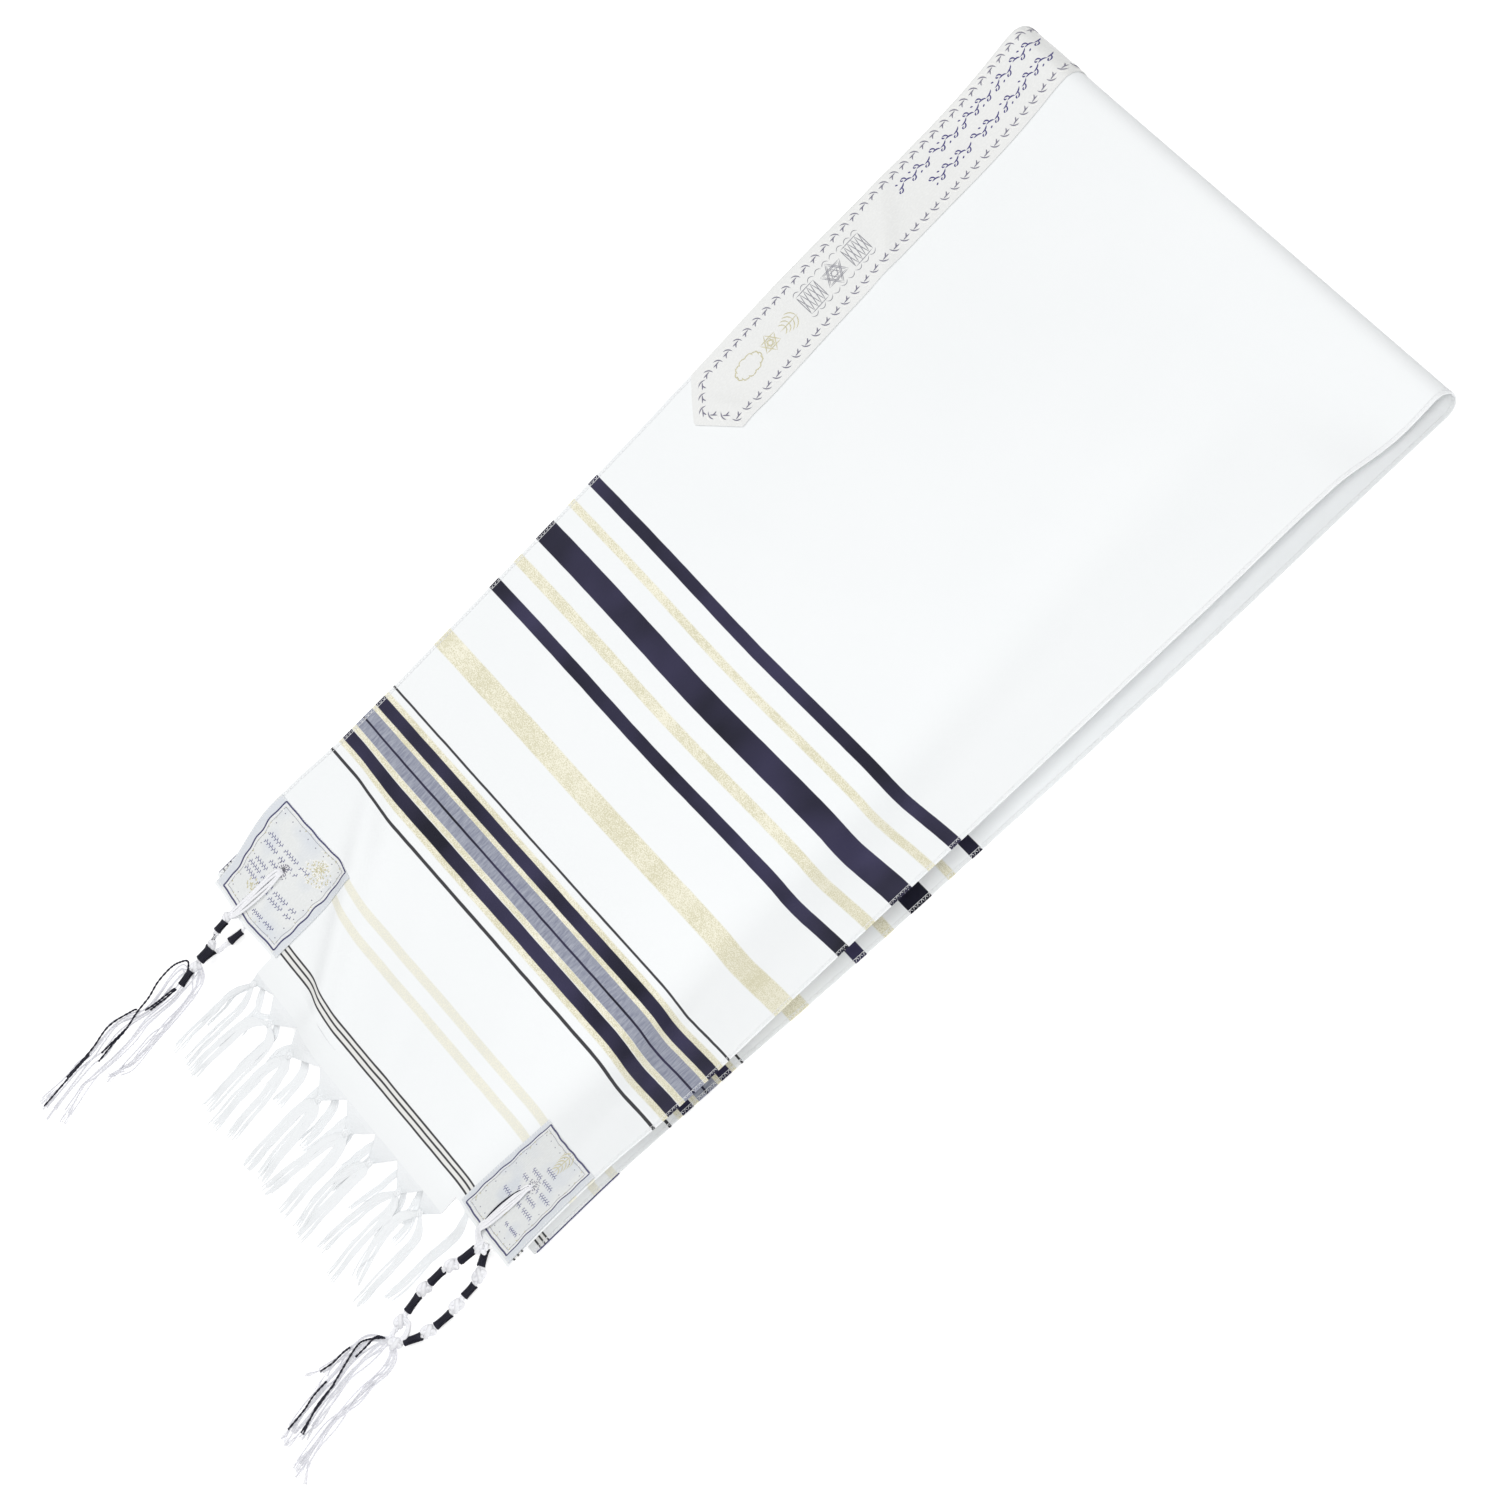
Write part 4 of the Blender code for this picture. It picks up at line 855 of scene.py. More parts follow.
def patch_frame(inset, steps=61):
    """A frame inside the patch as four lines from corner to corner, from the cloth's edge and its end:
    the two sides along the cloth wave in and out, the other two hardly."""
    low = np.array((TRIM_INSET + FRAME_SIDE, UPPER - PATCH_END + FRAME_END)) + inset
    high = np.array((TRIM_INSET + PATCH_WIDTH - FRAME_SIDE, UPPER - PATCH_TOP - FRAME_TOP)) - inset
    corners = np.array([low, (high[0], low[1]), high, (low[0], high[1]), low])
    t = np.linspace(0.0, 1.0, steps)
    lines = corners[:-1, None] * (1 - t[:, None]) + corners[1:, None] * t[:, None]
    phase = np.array(FRAME_PHASES)[:, None]
    wave = 0.65 * np.sin(29 * t + phase) + 0.45 * np.sin(15 * t + 2 * phase)
    wave = wave * np.sin(math.pi * t) ** 0.4 * np.array(FRAME_WAVES)[:, None]
    lines[1::2, :, 0] += wave[1::2]
    lines[::2, :, 1] += wave[::2]
    return lines


def patch_lines(layer, side):
    """The lines of one patch's net across and along the cloth, closer round its eyelet."""
    us = eyelet_lines(np.linspace(PATCH_FROM, TRIM_INSET + PATCH_WIDTH, 34), EYELET_U)
    vs = eyelet_lines(np.linspace(PATCH_TOP, PATCH_END, 31), EYELET_V)
    return (us if side == "left" else WIDTH - us[::-1],
            vs if layer == "upper" else other_half(vs[::-1]))


def on_patch(points, layer, side):
    """Places from the cloth's edge and end, put on one corner of one layer."""
    points = np.asarray(points, float)
    u = points[..., 0] if side == "left" else WIDTH - points[..., 0]
    v = UPPER - points[..., 1]
    return np.stack([u, v if layer == "upper" else other_half(v)], -1)


def embroider(layer, side):
    """Works one patch: its frames, rows of little vines, the gold motif of its side, the rim of its
    eyelet and the overcast edge."""

    def sewn(kind, controls, wide=0.00050, high=0.0002, steps=4):
        """Stitches of one kind of thread on this patch."""
        patch_stitches[kind].append(stitches(on_patch(controls, layer, side), wide, high, steps))

    for kind, inset, wide in (("navy", NAVY_INSET, NAVY_WIDE), ("metal", METAL_INSET, METAL_WIDE)):
        line = on_patch(patch_frame(inset), layer, side)
        patch_stitches[kind].append(
            threads_on(line[..., 0], line[..., 1], TRIM_TOP + LINE_LIFT, wide, LINE_HIGH, 6))
    line = patch_frame(RUN_INSET, 43)
    run = np.stack([line[:, :-2:2], line[:, 1:-1:2], line[:, 2::2]], 2).reshape(-1, 3, 2)
    sewn("light", run * 0.92 + run[:, 1:2] * 0.08)
    line = patch_frame(FLECK_INSET, 35).reshape(-1, 2)
    chosen = patch_random.uniform(0, 1, len(line)) > 1 - FLECK_SHARE
    fleck = line[chosen] + patch_random.normal(0, FLECK_OFF, (chosen.sum(), 2))
    ahead = patch_random.normal(0, FLECK_LONG, (chosen.sum(), 2))
    flecks = straight(fleck - ahead, fleck + ahead)
    sewn("light", flecks[::2])
    sewn("gold", flecks[1::2])
    dots = patch_frame(DOT_INSET, 8)[:, 1:].reshape(-1, 2)
    sewn("grey", straight(dots - DOT_HALF, dots + DOT_HALF))

    for from_end, first, last in ROWS[side]:
        size = LAST_ROW_SIZE if from_end < LAST_ROW_AT else VINE_ROW_SIZE
        spots = np.arange(first + 0.002, last, 3.9 * size)
        spots = spots[np.arange(len(spots)) % ROW_GAP != ROW_GAP - 1]
        middle = np.stack([spots, from_end + 0 * spots], -1)
        clear = np.hypot(spots - EYELET_U, from_end - (UPPER - EYELET_V)) > EYELET_FREE
        sewn("lilac", sew(LITTLE_VINE, middle[clear], math.pi / 2, size), 0.00034, 0.00018)
    if side == "left":
        sewn("gold", np.concatenate([sew(FLOWER, BLOOM_AT, size=0.0018),
                                     scattered(SPECKS_AT, 0.0135, 80),
                                     scattered(LOW_SPECKS_AT, 0.0080, 34)]), 0.00056)
        sewn("light", scattered(SPECKS_AT, 0.0145, 150), 0.00066)
    else:
        sewn("gold", np.concatenate([leaf_sprig(LEAVES_AT, 0.0210, 5, -1.0),
                                     sew(FLOWER, LITTLE_BLOOM_AT, 0.3, 0.0014)]), 0.00060, steps=5)

    spokes = np.arange(SPOKES) * 2 * math.pi / SPOKES
    ring = np.stack([np.cos(spokes), np.sin(spokes)], -1)
    hub = np.array((EYELET_U, UPPER - EYELET_V))
    rim = np.stack([hub + ring * reach for reach in RIM], 1)
    sewn("grey", rim[::2], 0.00048, steps=5)
    sewn("light", rim[1::2], 0.00048, steps=5)
    sewn("grey", scattered(hub, 0.0088, 40), 0.00030)

    far, bottom, top = TRIM_INSET + PATCH_WIDTH, UPPER - PATCH_END, UPPER - PATCH_TOP
    outline = [(PATCH_FROM, bottom), (far, bottom), (far, top), (PATCH_FROM, top), (PATCH_FROM, bottom)]
    sewn("light", overcast(outline, OVERCAST_PITCH, OVERCAST_DEPTH), 0.00028, WHIP_HIGH)
    if layer == "lower":
        # The cloth's own edge shows beside the lower patches, bound in navy
        edge = on_patch(np.stack([np.zeros(60), np.linspace(bottom, top, 60)], -1), layer, side)
        patch_stitches["navy"].append(
            threads_on(edge[:, 0], edge[:, 1], 0.0, BINDING_WIDE, BINDING_HIGH, 6))


patch_stitches = {"navy": [], "metal": [], "light": [], "lilac": [], "gold": [], "grey": []}
for layer in ("upper", "lower"):
    for side in ("left", "right"):
        patch_us, patch_vs = patch_lines(layer, side)
        net = round_eyelets(*np.meshgrid(patch_us, patch_vs, indexing="ij"))
        make_piece(f"patch_satin_{layer}_{side}",
                   [shell(*net, trim_place, TRIM_WALL, off_eyelets(patch_us, patch_vs))],
                   ICE, [f"patch_{layer}_{side}"])
        embroider(layer, side)
for kind, finish in (("navy", NAVY_SILK), ("metal", SILVER_THREAD), ("light", LIGHT_SILK),
                     ("lilac", LILAC_SILK), ("gold", GOLD_THREAD), ("grey", GREY_SILK)):
    make_piece(f"patch_{kind}_stitches", patch_stitches[kind], finish)

# --- Fringe ---------------------------------------------------------------------------------------
# The warp runs out past the hem: a narrow woven strip, then loose yarns gathered into small knots,
# each with two flat legs of yarn that part here and there and fray at their tips.
KNOTS = np.array([
    # millimetres: web_from and knot_at across the cloth, knot_down below the hem
    (96.0, 99.4, 23.5), (119.5, 133.0, 33.2), (156.7, 167.7, 32.9), (196.5, 213.7, 33.1),
    (232.0, 249.9, 33.3), (268.9, 281.0, 34.0), (297.0, 314.5, 31.9), (329.5, 339.4, 28.8),
]) / 1000
FRINGE_TO, WEB = 0.354, 0.0165
WEB_ENDS = np.append(KNOTS[:, 0], FRINGE_TO)
LEGS = {
    # layer: rows of knot, then across and down in millimetres at three places, and width
    "upper": [
        (0, 91.3, 42.0, 90.8, 68.0, 90.3, 102.7, 5.5),
        (0, 105.6, 40.4, 105.3, 66.3, 104.8, 101.8, 6.0),
        (1, 119.8, 45.8, 116.6, 70.2, 115.3, 104.9, 9.5),
        (1, 144.0, 43.6, 145.2, 74.3, 145.7, 111.2, 9.0),
        (2, 160.1, 53.8, 159.8, 84.7, 160.9, 114.0, 8.5),
        (2, 173.6, 47.1, 179.2, 72.9, 180.9, 105.0, 9.0),
        (3, 208.1, 50.0, 208.8, 75.4, 209.8, 107.7, 9.2),
        (3, 218.7, 49.0, 221.3, 74.3, 224.1, 106.3, 9.8),
        (4, 243.5, 51.9, 240.4, 75.9, 235.6, 108.5, 9.2),
        (4, 255.8, 50.8, 256.9, 77.7, 258.0, 109.7, 9.4),
        (5, 273.7, 49.2, 271.4, 72.9, 275.9, 107.9, 7.5),
        (5, 281.3, 48.6, 281.9, 75.3, 282.5, 110.6, 8.6),
        (6, 307.4, 46.1, 303.8, 69.9, 301.2, 102.9, 7.4),
        (6, 320.3, 44.9, 320.5, 68.3, 323.5, 111.5, 8.0),
        (7, 329.6, 44.1, 331.6, 67.3, 341.0, 96.4, 8.4),
        (7, 350.9, 42.1, 353.3, 68.4, 354.2, 107.4, 7.6),
    ],
    "lower": [
        (0, 87.2, 45.0, 87.2, 62.0, 87.5, 80.0, 6.0),
        (0, 110.0, 38.0, 115.0, 45.0, 116.5, 62.0, 7.0),
        (1, 116.0, 48.0, 114.0, 65.0, 112.5, 82.0, 7.0),
        (1, 142.0, 45.0, 142.5, 62.0, 142.0, 80.0, 7.0),
        (2, 158.0, 48.0, 159.0, 65.0, 160.0, 84.0, 7.0),
        (2, 184.0, 42.0, 189.0, 55.0, 189.8, 75.0, 8.7),
        (3, 209.0, 48.0, 209.5, 65.0, 210.0, 82.0, 7.0),
        (3, 228.0, 42.0, 233.0, 60.0, 233.9, 81.0, 7.7),
        (4, 247.0, 48.0, 246.0, 65.0, 243.0, 82.0, 8.0),
        (4, 258.0, 48.0, 261.0, 65.0, 262.0, 84.0, 6.0),
        (5, 279.0, 48.0, 278.0, 65.0, 280.0, 82.0, 7.0),
        (5, 288.0, 48.0, 289.0, 65.0, 289.0, 84.0, 7.0),
        (6, 313.4, 45.0, 312.2, 58.0, 308.2, 84.0, 5.4),
        (6, 334.0, 48.0, 338.0, 65.0, 339.0, 82.0, 6.0),
        (7, 344.0, 40.0, 347.0, 48.0, 348.0, 58.0, 6.0),
        (7, 351.0, 48.0, 356.0, 60.0, 357.0, 74.0, 6.0),
    ],
}
WEB_YARNS, LEG_YARNS, HAIRS = 24, 8, 14
HAIRS_FROM = {"upper": 0.055, "lower": 0.040}
LEGS_SETTLE, TIPS_SINK, TIPS_OVER = 0.045, 0.085, 0.02
YARN_HIGH, WEB_YARN_HIGH, HAIR = 0.00034, 0.00036, 0.00018
WEB_TUCK, KNOT_TUCK, KNOT_GATHER = 0.0015, 0.003, 0.0040
KNOT_REST, KNOT_DROP, KNOT_RADIUS, KNOT_PLY, KNOT_FLAT = 0.0024, 0.001, 0.0030, 0.0008, 0.50
# One more bundle hangs from under the right patch's inner corner
STRAY = np.array([
    (0.1475, -0.4560, 0.0170), (0.1530, -0.4700, 0.0140), (0.1545, -0.4800, 0.0100),
    (0.1528, -0.4903, 0.0060), (0.1499, -0.5086, 0.0034), (0.1503, -0.5233, 0.0026),
    (0.1500, -0.5379, 0.0020), (0.1478, -0.5527, 0.0016),
])
FRINGES = {
    # layer: side of the fold, length of the layer, shift across, height, height of the tips
    "upper": (1, UPPER, 0.0, 0.0042, 0.0016),
    "lower": (-1, LOWER, 0.0080, 0.0014, 0.0014),
}
SKYWARD = np.array((0.0, 0.0, 1.0))


def smooth_path(rows, steps):
    """A smooth line through the rows, evenly divided in the steps between them."""
    return cubic(np.arange(len(rows), dtype=float), rows, np.linspace(0.0, len(rows) - 1, steps))


def knot_lines(middles, radius, ply, flat=1.0, steps=44):
    """Interlaced bead knots: a strand goes twice round while it swings three times along, its
    distance from the axis swinging too, so that it passes over and under itself."""
    t = np.linspace(0.0, 2 * math.pi, steps)
    reach = radius - ply
    out = reach * 0.72 + reach * 0.28 * np.cos(3 * t)
    line = np.stack([out * np.cos(2 * t), reach * 1.05 * np.sin(3 * t), out * np.sin(2 * t) * flat], -1)
    return middles[:, None] + line


def fringe_point(layer, u, down):
    """A place in a fringe, so far down from the hem: from the hem's height to where it lies."""
    side, length, shift, settled, tip_height = FRINGES[layer]
    hem = cloth_points(u + shift, np.full_like(u, side * length))
    height = settled + (tip_height - settled) * ease((down - TIPS_SINK) / TIPS_OVER)
    height = height + (np.maximum(hem[..., 2], settled) - height) * (1 - ease(down / LEGS_SETTLE))
    return np.stack([hem[..., 0], hem[..., 1] - down, height], -1)


def side_by_side(line, width, count, random):
    """Loose yarns along a line: gathered where it starts, then flat next to one another, parted once
    and frayed at their tips."""
    t = np.linspace(0.0, 1.0, len(line))
    row = (np.arange(count)[:, None] + 0.5) / count - 0.5
    phase = random.uniform(0, 2 * math.pi, (count, 2))
    parted, fray = random.uniform(-0.3, 0.3), random.uniform(-0.0008, 0.0008, (count, 1))
    apart = row * width * (0.38 + 0.62 * ease(t * 4))
    apart = apart + np.sign(row - parted) * 0.0006 * ease((t - random.uniform(0.25, 0.65)) * 2.5)
    own = 0.00016 * np.sin(t * 17 + phase[:, :1]) + 0.0001 * np.sin(t * 31 + phase[:, 1:])
    apart = apart + own * ease(t * 4) + fray * ease((t - 0.80) * 4.5)
    ragged = t ** 3 * random.uniform(-0.0028, 0.0022, (count, 1))
    level = random.uniform(-0.0001, 0.0002, (count, 1)) * ease(t * 8)
    yarns = line + np.stack([apart, ragged, level], -1)
    wide = width / count * (0.40 + 0.26 * ease(t * 4)) * (1 - 0.30 * ease((t - 0.92) * 12))
    return threads(yarns, SKYWARD, wide, YARN_HIGH, 4, random.uniform(0, 0.01, count))


def fringe_strip(layer):
    """The woven strip below the hem: a closed wall whose flat pair runs on from the cloth's."""
    side, length, *_ = FRINGES[layer]
    u, down = np.meshgrid(np.linspace(WEB_ENDS[0], FRINGE_TO, 90), np.linspace(0.0, WEB, 7),
                          indexing="ij")

    def place(u, down, lift):
        """A place in this layer's fringe, raised by the lift."""
        return fringe_point(layer, u, down) + SKYWARD * lift

    points, faces, _ = shell(u, down, place, WALL)
    flat = np.tile(np.stack([u, side * (length + down)], -1).reshape(-1, 2), (2, 1))
    return points, faces, flat[np.array(faces).ravel()]


def gathered_web(layer, random):
    """Yarns that leave the strip side by side and draw together, a group to each knot."""
    knot = np.repeat(np.arange(len(KNOTS)), WEB_YARNS)[:, None]
    share = (np.tile(np.arange(WEB_YARNS), len(KNOTS))[:, None] + 0.5) / WEB_YARNS
    start = WEB_ENDS[knot] * (1 - share) + WEB_ENDS[knot + 1] * share
    t = np.linspace(0.0, 1.0, 12)
    down = (WEB - WEB_TUCK) * (1 - t) + (KNOTS[knot, 2] + KNOT_TUCK) * t
    drawn = np.clip((down - WEB) / (KNOTS[knot, 2] - WEB), 0.0, 1.0)
    in_knot = KNOTS[knot, 1] + (share - 0.5) * KNOT_GATHER
    web = fringe_point(layer, start + (in_knot - start) * drawn, down)
    half = (WEB_ENDS[knot + 1] - WEB_ENDS[knot]) / WEB_YARNS / 2
    return threads(web, SKYWARD, half * (1.05 - 0.78 * drawn), WEB_YARN_HIGH, 4,
                   random.uniform(0, 0.01, len(web)))


def leg(layer, row, random):
    """One flat leg of yarn, from its knot through the three places of its row."""
    number, *places, width = row
    places = np.vstack([KNOTS[number, 1:], np.array(places).reshape(3, 2) / 1000])
    across, down = smooth_path(places, 34).T
    return side_by_side(fringe_point(layer, across, down), width / 1000, LEG_YARNS, random)


def fringe_knots(layer):
    """The row of small knots, none lower than it can lie."""
    middle = fringe_point(layer, KNOTS[:, 1], KNOTS[:, 2] + KNOT_DROP)
    middle[:, 2] = np.maximum(middle[:, 2], KNOT_REST)
    return threads(knot_lines(middle, KNOT_RADIUS, KNOT_PLY, KNOT_FLAT), SKYWARD, 0.0009, 0.0007, 6)


def stray_hairs(layer, random):
    """Single fibres that wander among the legs: each drifts to one side on a slow sine."""
    t = np.linspace(0.0, 1.0, 12)
    u = KNOTS[random.integers(0, len(KNOTS), (HAIRS, 1)), 1]
    u = u + random.uniform(-0.006, 0.006, (HAIRS, 1))
    u = u + random.uniform(-0.010, 0.010, (HAIRS, 1)) * t
    u = u + 0.0012 * np.sin(t * 6 + random.uniform(0, 6, (HAIRS, 1)))
    down = HAIRS_FROM[layer] + random.uniform(0.0, 0.025, (HAIRS, 1)) + 0.025 * t
    hair = fringe_point(layer, u, down)
    hair[..., 2] += 0.0008 * np.sin(t * math.pi)
    return threads(hair, SKYWARD, HAIR, HAIR, 4)


YARN = thread_finish("fringe_yarn", (0.845, 0.862, 0.875), 0.85, 0.0020, 0.10, 0.97)
for layer in FRINGES:
    random = np.random.default_rng(18 if layer == "upper" else 72)
    make_piece(f"fringe_strip_{layer}", [fringe_strip(layer)], WOVEN)
    parts = [gathered_web(layer, random)]
    parts += [leg(layer, row, random) for row in LEGS[layer]]
    parts += [fringe_knots(layer), stray_hairs(layer, random)]
    if layer == "upper":
        parts.append(side_by_side(smooth_path(STRAY + PLACE, 40), 0.0080, 10, random))
    make_piece(f"fringe_yarn_{layer}", parts, YARN, [f"fringe_{layer}"])

# --- Tzitzit --------------------------------------------------------------------------------------
# Each corner has strands of white cord through its eyelet, spread over both faces, then a column of
# navy windings between white knots, and loose twisted tails, white ones in pairs and thin navy ones.
CORD_DRIFT = {
    # node: how far across its cord moves between the eyelet and the hem
    "tzitzit_upper_left": -0.0065, "tzitzit_upper_right": -0.0060,
    "tzitzit_lower_left": 0.0080, "tzitzit_lower_right": 0.0120,
}
COLUMNS = {
    # node: rows of (x, y, z, radius, what is made from here on) along the middle of the column
    "tzitzit_upper_left": [
        (-0.1713, -0.4622, 0.0098, 0.0032, "knot"), (-0.1699, -0.4655, 0.0092, 0.0031, "navy"),
        (-0.1695, -0.4755, 0.0084, 0.0031, "white"), (-0.1680, -0.4780, 0.0082, 0.0015, "navy"),
        (-0.1660, -0.4836, 0.0080, 0.0018, "white"), (-0.1648, -0.4850, 0.0078, 0.0028, "knot"),
        (-0.1621, -0.4875, 0.0076, 0.0050, "navy"), (-0.1623, -0.5000, 0.0076, 0.0037, "white"),
        (-0.1614, -0.5054, 0.0072, 0.0035, "knot"), (-0.1620, -0.5105, 0.0062, 0.0028, "navy"),
        (-0.1600, -0.5239, 0.0050, 0.0028, "end"),
    ],
    "tzitzit_upper_right": [
        (0.1864, -0.4700, 0.0310, 0.0044, "knot"), (0.1815, -0.4745, 0.0270, 0.0031, "navy"),
        (0.1767, -0.4895, 0.0210, 0.0031, "white"), (0.1738, -0.4966, 0.0190, 0.0046, "knot"),
        (0.1699, -0.5047, 0.0150, 0.0031, "navy"), (0.1678, -0.5186, 0.0110, 0.0031, "white"),
        (0.1673, -0.5247, 0.0100, 0.0046, "knot"), (0.1672, -0.5315, 0.0080, 0.0031, "navy"),
        (0.1690, -0.5460, 0.0062, 0.0031, "white"), (0.1705, -0.5540, 0.0058, 0.0044, "knot"),
        (0.1735, -0.5690, 0.0045, 0.0031, "end"),
    ],
    "tzitzit_lower_left": [
        (-0.1560, -0.4615, 0.0040, 0.0024, "navy"), (-0.1575, -0.4738, 0.0040, 0.0032, "white"),
        (-0.1579, -0.4786, 0.0040, 0.0026, "white"), (-0.1592, -0.4862, 0.0036, 0.0026, "end"),
    ],
    "tzitzit_lower_right": [
        (0.1770, -0.4720, 0.0060, 0.0031, "navy"), (0.1838, -0.4837, 0.0050, 0.0031, "white"),
        (0.1882, -0.4888, 0.0056, 0.0046, "knot"), (0.1904, -0.4959, 0.0045, 0.0031, "navy"),
        (0.1912, -0.5074, 0.0045, 0.0031, "white"), (0.1929, -0.5152, 0.0056, 0.0046, "knot"),
        (0.1933, -0.5224, 0.0045, 0.0031, "navy"), (0.1922, -0.5370, 0.0045, 0.0031, "white"),
        (0.1915, -0.5429, 0.0056, 0.0046, "knot"), (0.1900, -0.5493, 0.0045, 0.0031, "navy"),
        (0.1835, -0.5620, 0.0040, 0.0031, "white"), (0.1800, -0.5675, 0.0056, 0.0044, "knot"),
        (0.1790, -0.5710, 0.0050, 0.0024, "end"),
    ],
}
TAILS = {
    # node: strands of (colour, across and along in millimetres by turns, from the knot to the tip)
    "tzitzit_upper_left": [
        ("navy", -165, -505, -170, -508, -175, -514, -177, -522, -176, -536, -172, -549, -170,
         -563, -166, -579, -165, -594, -163, -610),
        ("white", -165, -505, -171, -514, -172, -526, -169, -541, -167, -557, -171, -566, -177,
         -578, -179, -588, -176, -602, -174, -613, -176, -624, -174, -639, -175, -663),
        ("white", -165, -505, -168, -517, -168, -532, -166, -547, -168, -563, -174, -573, -176,
         -585, -174, -600, -172, -612, -173, -626, -171, -641, -168, -664),
        ("navy", -172, -562, -174, -566, -179, -587, -175, -609, -173, -637),
        ("white", -163, -505, -165, -521, -163, -538, -164, -556, -168, -572, -169, -587, -166,
         -603, -168, -615, -166, -633, -164, -648, -162, -660),
        ("navy", -161, -533, -162, -540, -163, -548, -165, -557),
        ("navy", -160, -533, -161, -540, -162, -547, -163, -554),
        ("navy", -166, -576, -166, -587, -166, -604),
        ("navy", -172, -612, -171, -628, -168, -664),
    ],
    "tzitzit_lower_left": [
        ("white", -162, -505, -160, -521, -158, -534, -160, -553, -161, -565, -159, -580, -158,
         -596, -159, -614, -158, -628, -155, -640, -151, -654),
        ("white", -161, -505, -158, -517, -157, -534, -158, -550, -159, -565, -157, -579, -157,
         -599, -158, -617, -160, -631, -157, -642, -154, -654),
        ("white", -160, -504, -153, -508, -149, -515, -148, -527, -146, -539, -145, -553, -147,
         -565, -146, -579, -146, -593, -146, -606),
        ("white", -160, -504, -151, -509, -148, -518, -147, -533, -145, -551, -143, -568, -141,
         -582, -141, -594, -145, -603),
        ("white", -161, -505, -156, -513, -150, -520, -148, -533, -147, -549, -145, -564, -145,
         -579, -144, -591, -146, -600),
    ],
    "tzitzit_upper_right": [
        ("white", 174, -570, 166, -575, 160, -585, 159, -598, 161, -611, 162, -626, 163, -640,
         165, -653, 167, -666),
        ("white", 174, -571, 166, -576, 162, -586, 162, -599, 164, -612, 164, -627, 166, -641,
         167, -654, 169, -668),
        ("white", 175, -571, 168, -578, 165, -589, 164, -602, 167, -616, 167, -629, 169, -644,
         171, -657, 173, -667),
        ("white", 175, -571, 170, -579, 168, -591, 168, -604, 170, -617, 171, -630, 173, -645,
         175, -656, 176, -666),
        ("white", 175, -571, 173, -581, 171, -592, 171, -606, 173, -618, 176, -631, 178, -643,
         180, -651),
        ("white", 176, -572, 175, -582, 174, -594, 173, -607, 175, -620, 177, -633, 180, -645,
         181, -653),
        ("navy", 167, -574, 162, -582, 160, -590, 164, -606, 169, -623, 173, -642, 178, -662),
        ("navy", 170, -572, 166, -575, 166, -586, 166, -596),
        ("navy", 170, -620, 172, -638, 177, -652, 181, -661),
        ("navy", 163, -624, 164, -638, 167, -651, 169, -668),
        ("white", 172, -571, 162, -579, 158, -591, 156, -603, 155, -615, 152, -624),
        ("white", 173, -572, 164, -580, 159, -592, 157, -604, 157, -616, 158, -622),
        ("navy", 157, -595, 156, -601, 156, -612, 154, -623),
    ],
    "tzitzit_lower_right": [
        ("white", 183, -570, 188, -575, 190, -586, 188, -599, 189, -614, 187, -629, 186, -643,
         188, -658, 191, -678),
        ("white", 183, -570, 189, -576, 191, -588, 189, -601, 190, -615, 188, -630, 188, -644,
         191, -660, 194, -676),
        ("white", 183, -571, 187, -578, 188, -588, 187, -601, 188, -615, 190, -628, 192, -641,
         193, -657, 196, -668, 200, -674),
        ("white", 182, -571, 185, -579, 187, -592, 186, -607, 186, -621, 187, -636, 190, -650,
         193, -664, 197, -677),
    ],
}
TAIL_REST, TAIL_FALL = {"upper": 0.0026, "lower": 0.0012}, 0.035
CORD, WINDING, ROW_STEPS = 0.0012, 0.00050, 60
CORE, CORD_WOUND, CORD_PLY, CORD_KNOT_PLY, KNOT_OVER = 0.0016, 0.0013, 0.0011, 0.0018, 0.0008
CORD_LAY, WHITE_LAY, NAVY_LAY = 0.016, 0.010, 0.008
WHITE_WOUND, WHITE_PLY, NAVY_WOUND, NAVY_PLY, FIBRE = 0.00027, 0.00038, 0.00036, 0.00052, 0.00022
SLACK_FROM, SLACK_TO, SLACK_OUT, SLACK_UP = 0.0020, 0.0480, 0.0052, 0.0028
# Distances from the eyelet down the cloth where a cord's height is given
STEPS = np.array([0.0005, 0.0040, 0.0120, 0.0240, 0.0400, 0.0500])
STEPS_UNDER, DEPTH_UNDER = np.array([0.0020, 0.0065, 0.0300, 0.0460]), -0.0018


def frames(line):
    """Unit directions along a path, level across it, and square to both."""
    ahead = unit(np.gradient(line, axis=0))
    side = unit(np.cross(ahead, SKYWARD))
    return ahead, side, np.cross(side, ahead)


def plies(line, radius, ply, turns, count, phase=0.0):
    """Strands that wind round a path side by side, each a helix at its share of the turn."""
    _, side, up = frames(line)
    length = np.linspace(0.0, 1.0, len(line))
    radius = np.zeros(len(line)) + radius
    angle = 2 * math.pi * (length * turns + np.arange(count)[:, None] / count) + phase
    made = line + side * (radius * np.cos(angle))[..., None]
    made = made + up * (radius * np.sin(angle))[..., None]
    return threads(made, up, ply, ply, 5)


def knot_on(line, index, radius, ply):
    """An interlaced knot round a path at one of its points."""
    ahead, side, up = (part[index] for part in frames(line))
    local = knot_lines(np.zeros((1, 3)), radius, ply, steps=52)[0]
    world = line[index] + local[:, :1] * side + local[:, 1:2] * ahead + local[:, 2:] * up
    return threads(world[None], up, ply, ply, 7)


def length_of(line):
    """How long a line through points is."""
    return float(np.linalg.norm(np.diff(line, axis=0), axis=1).sum())


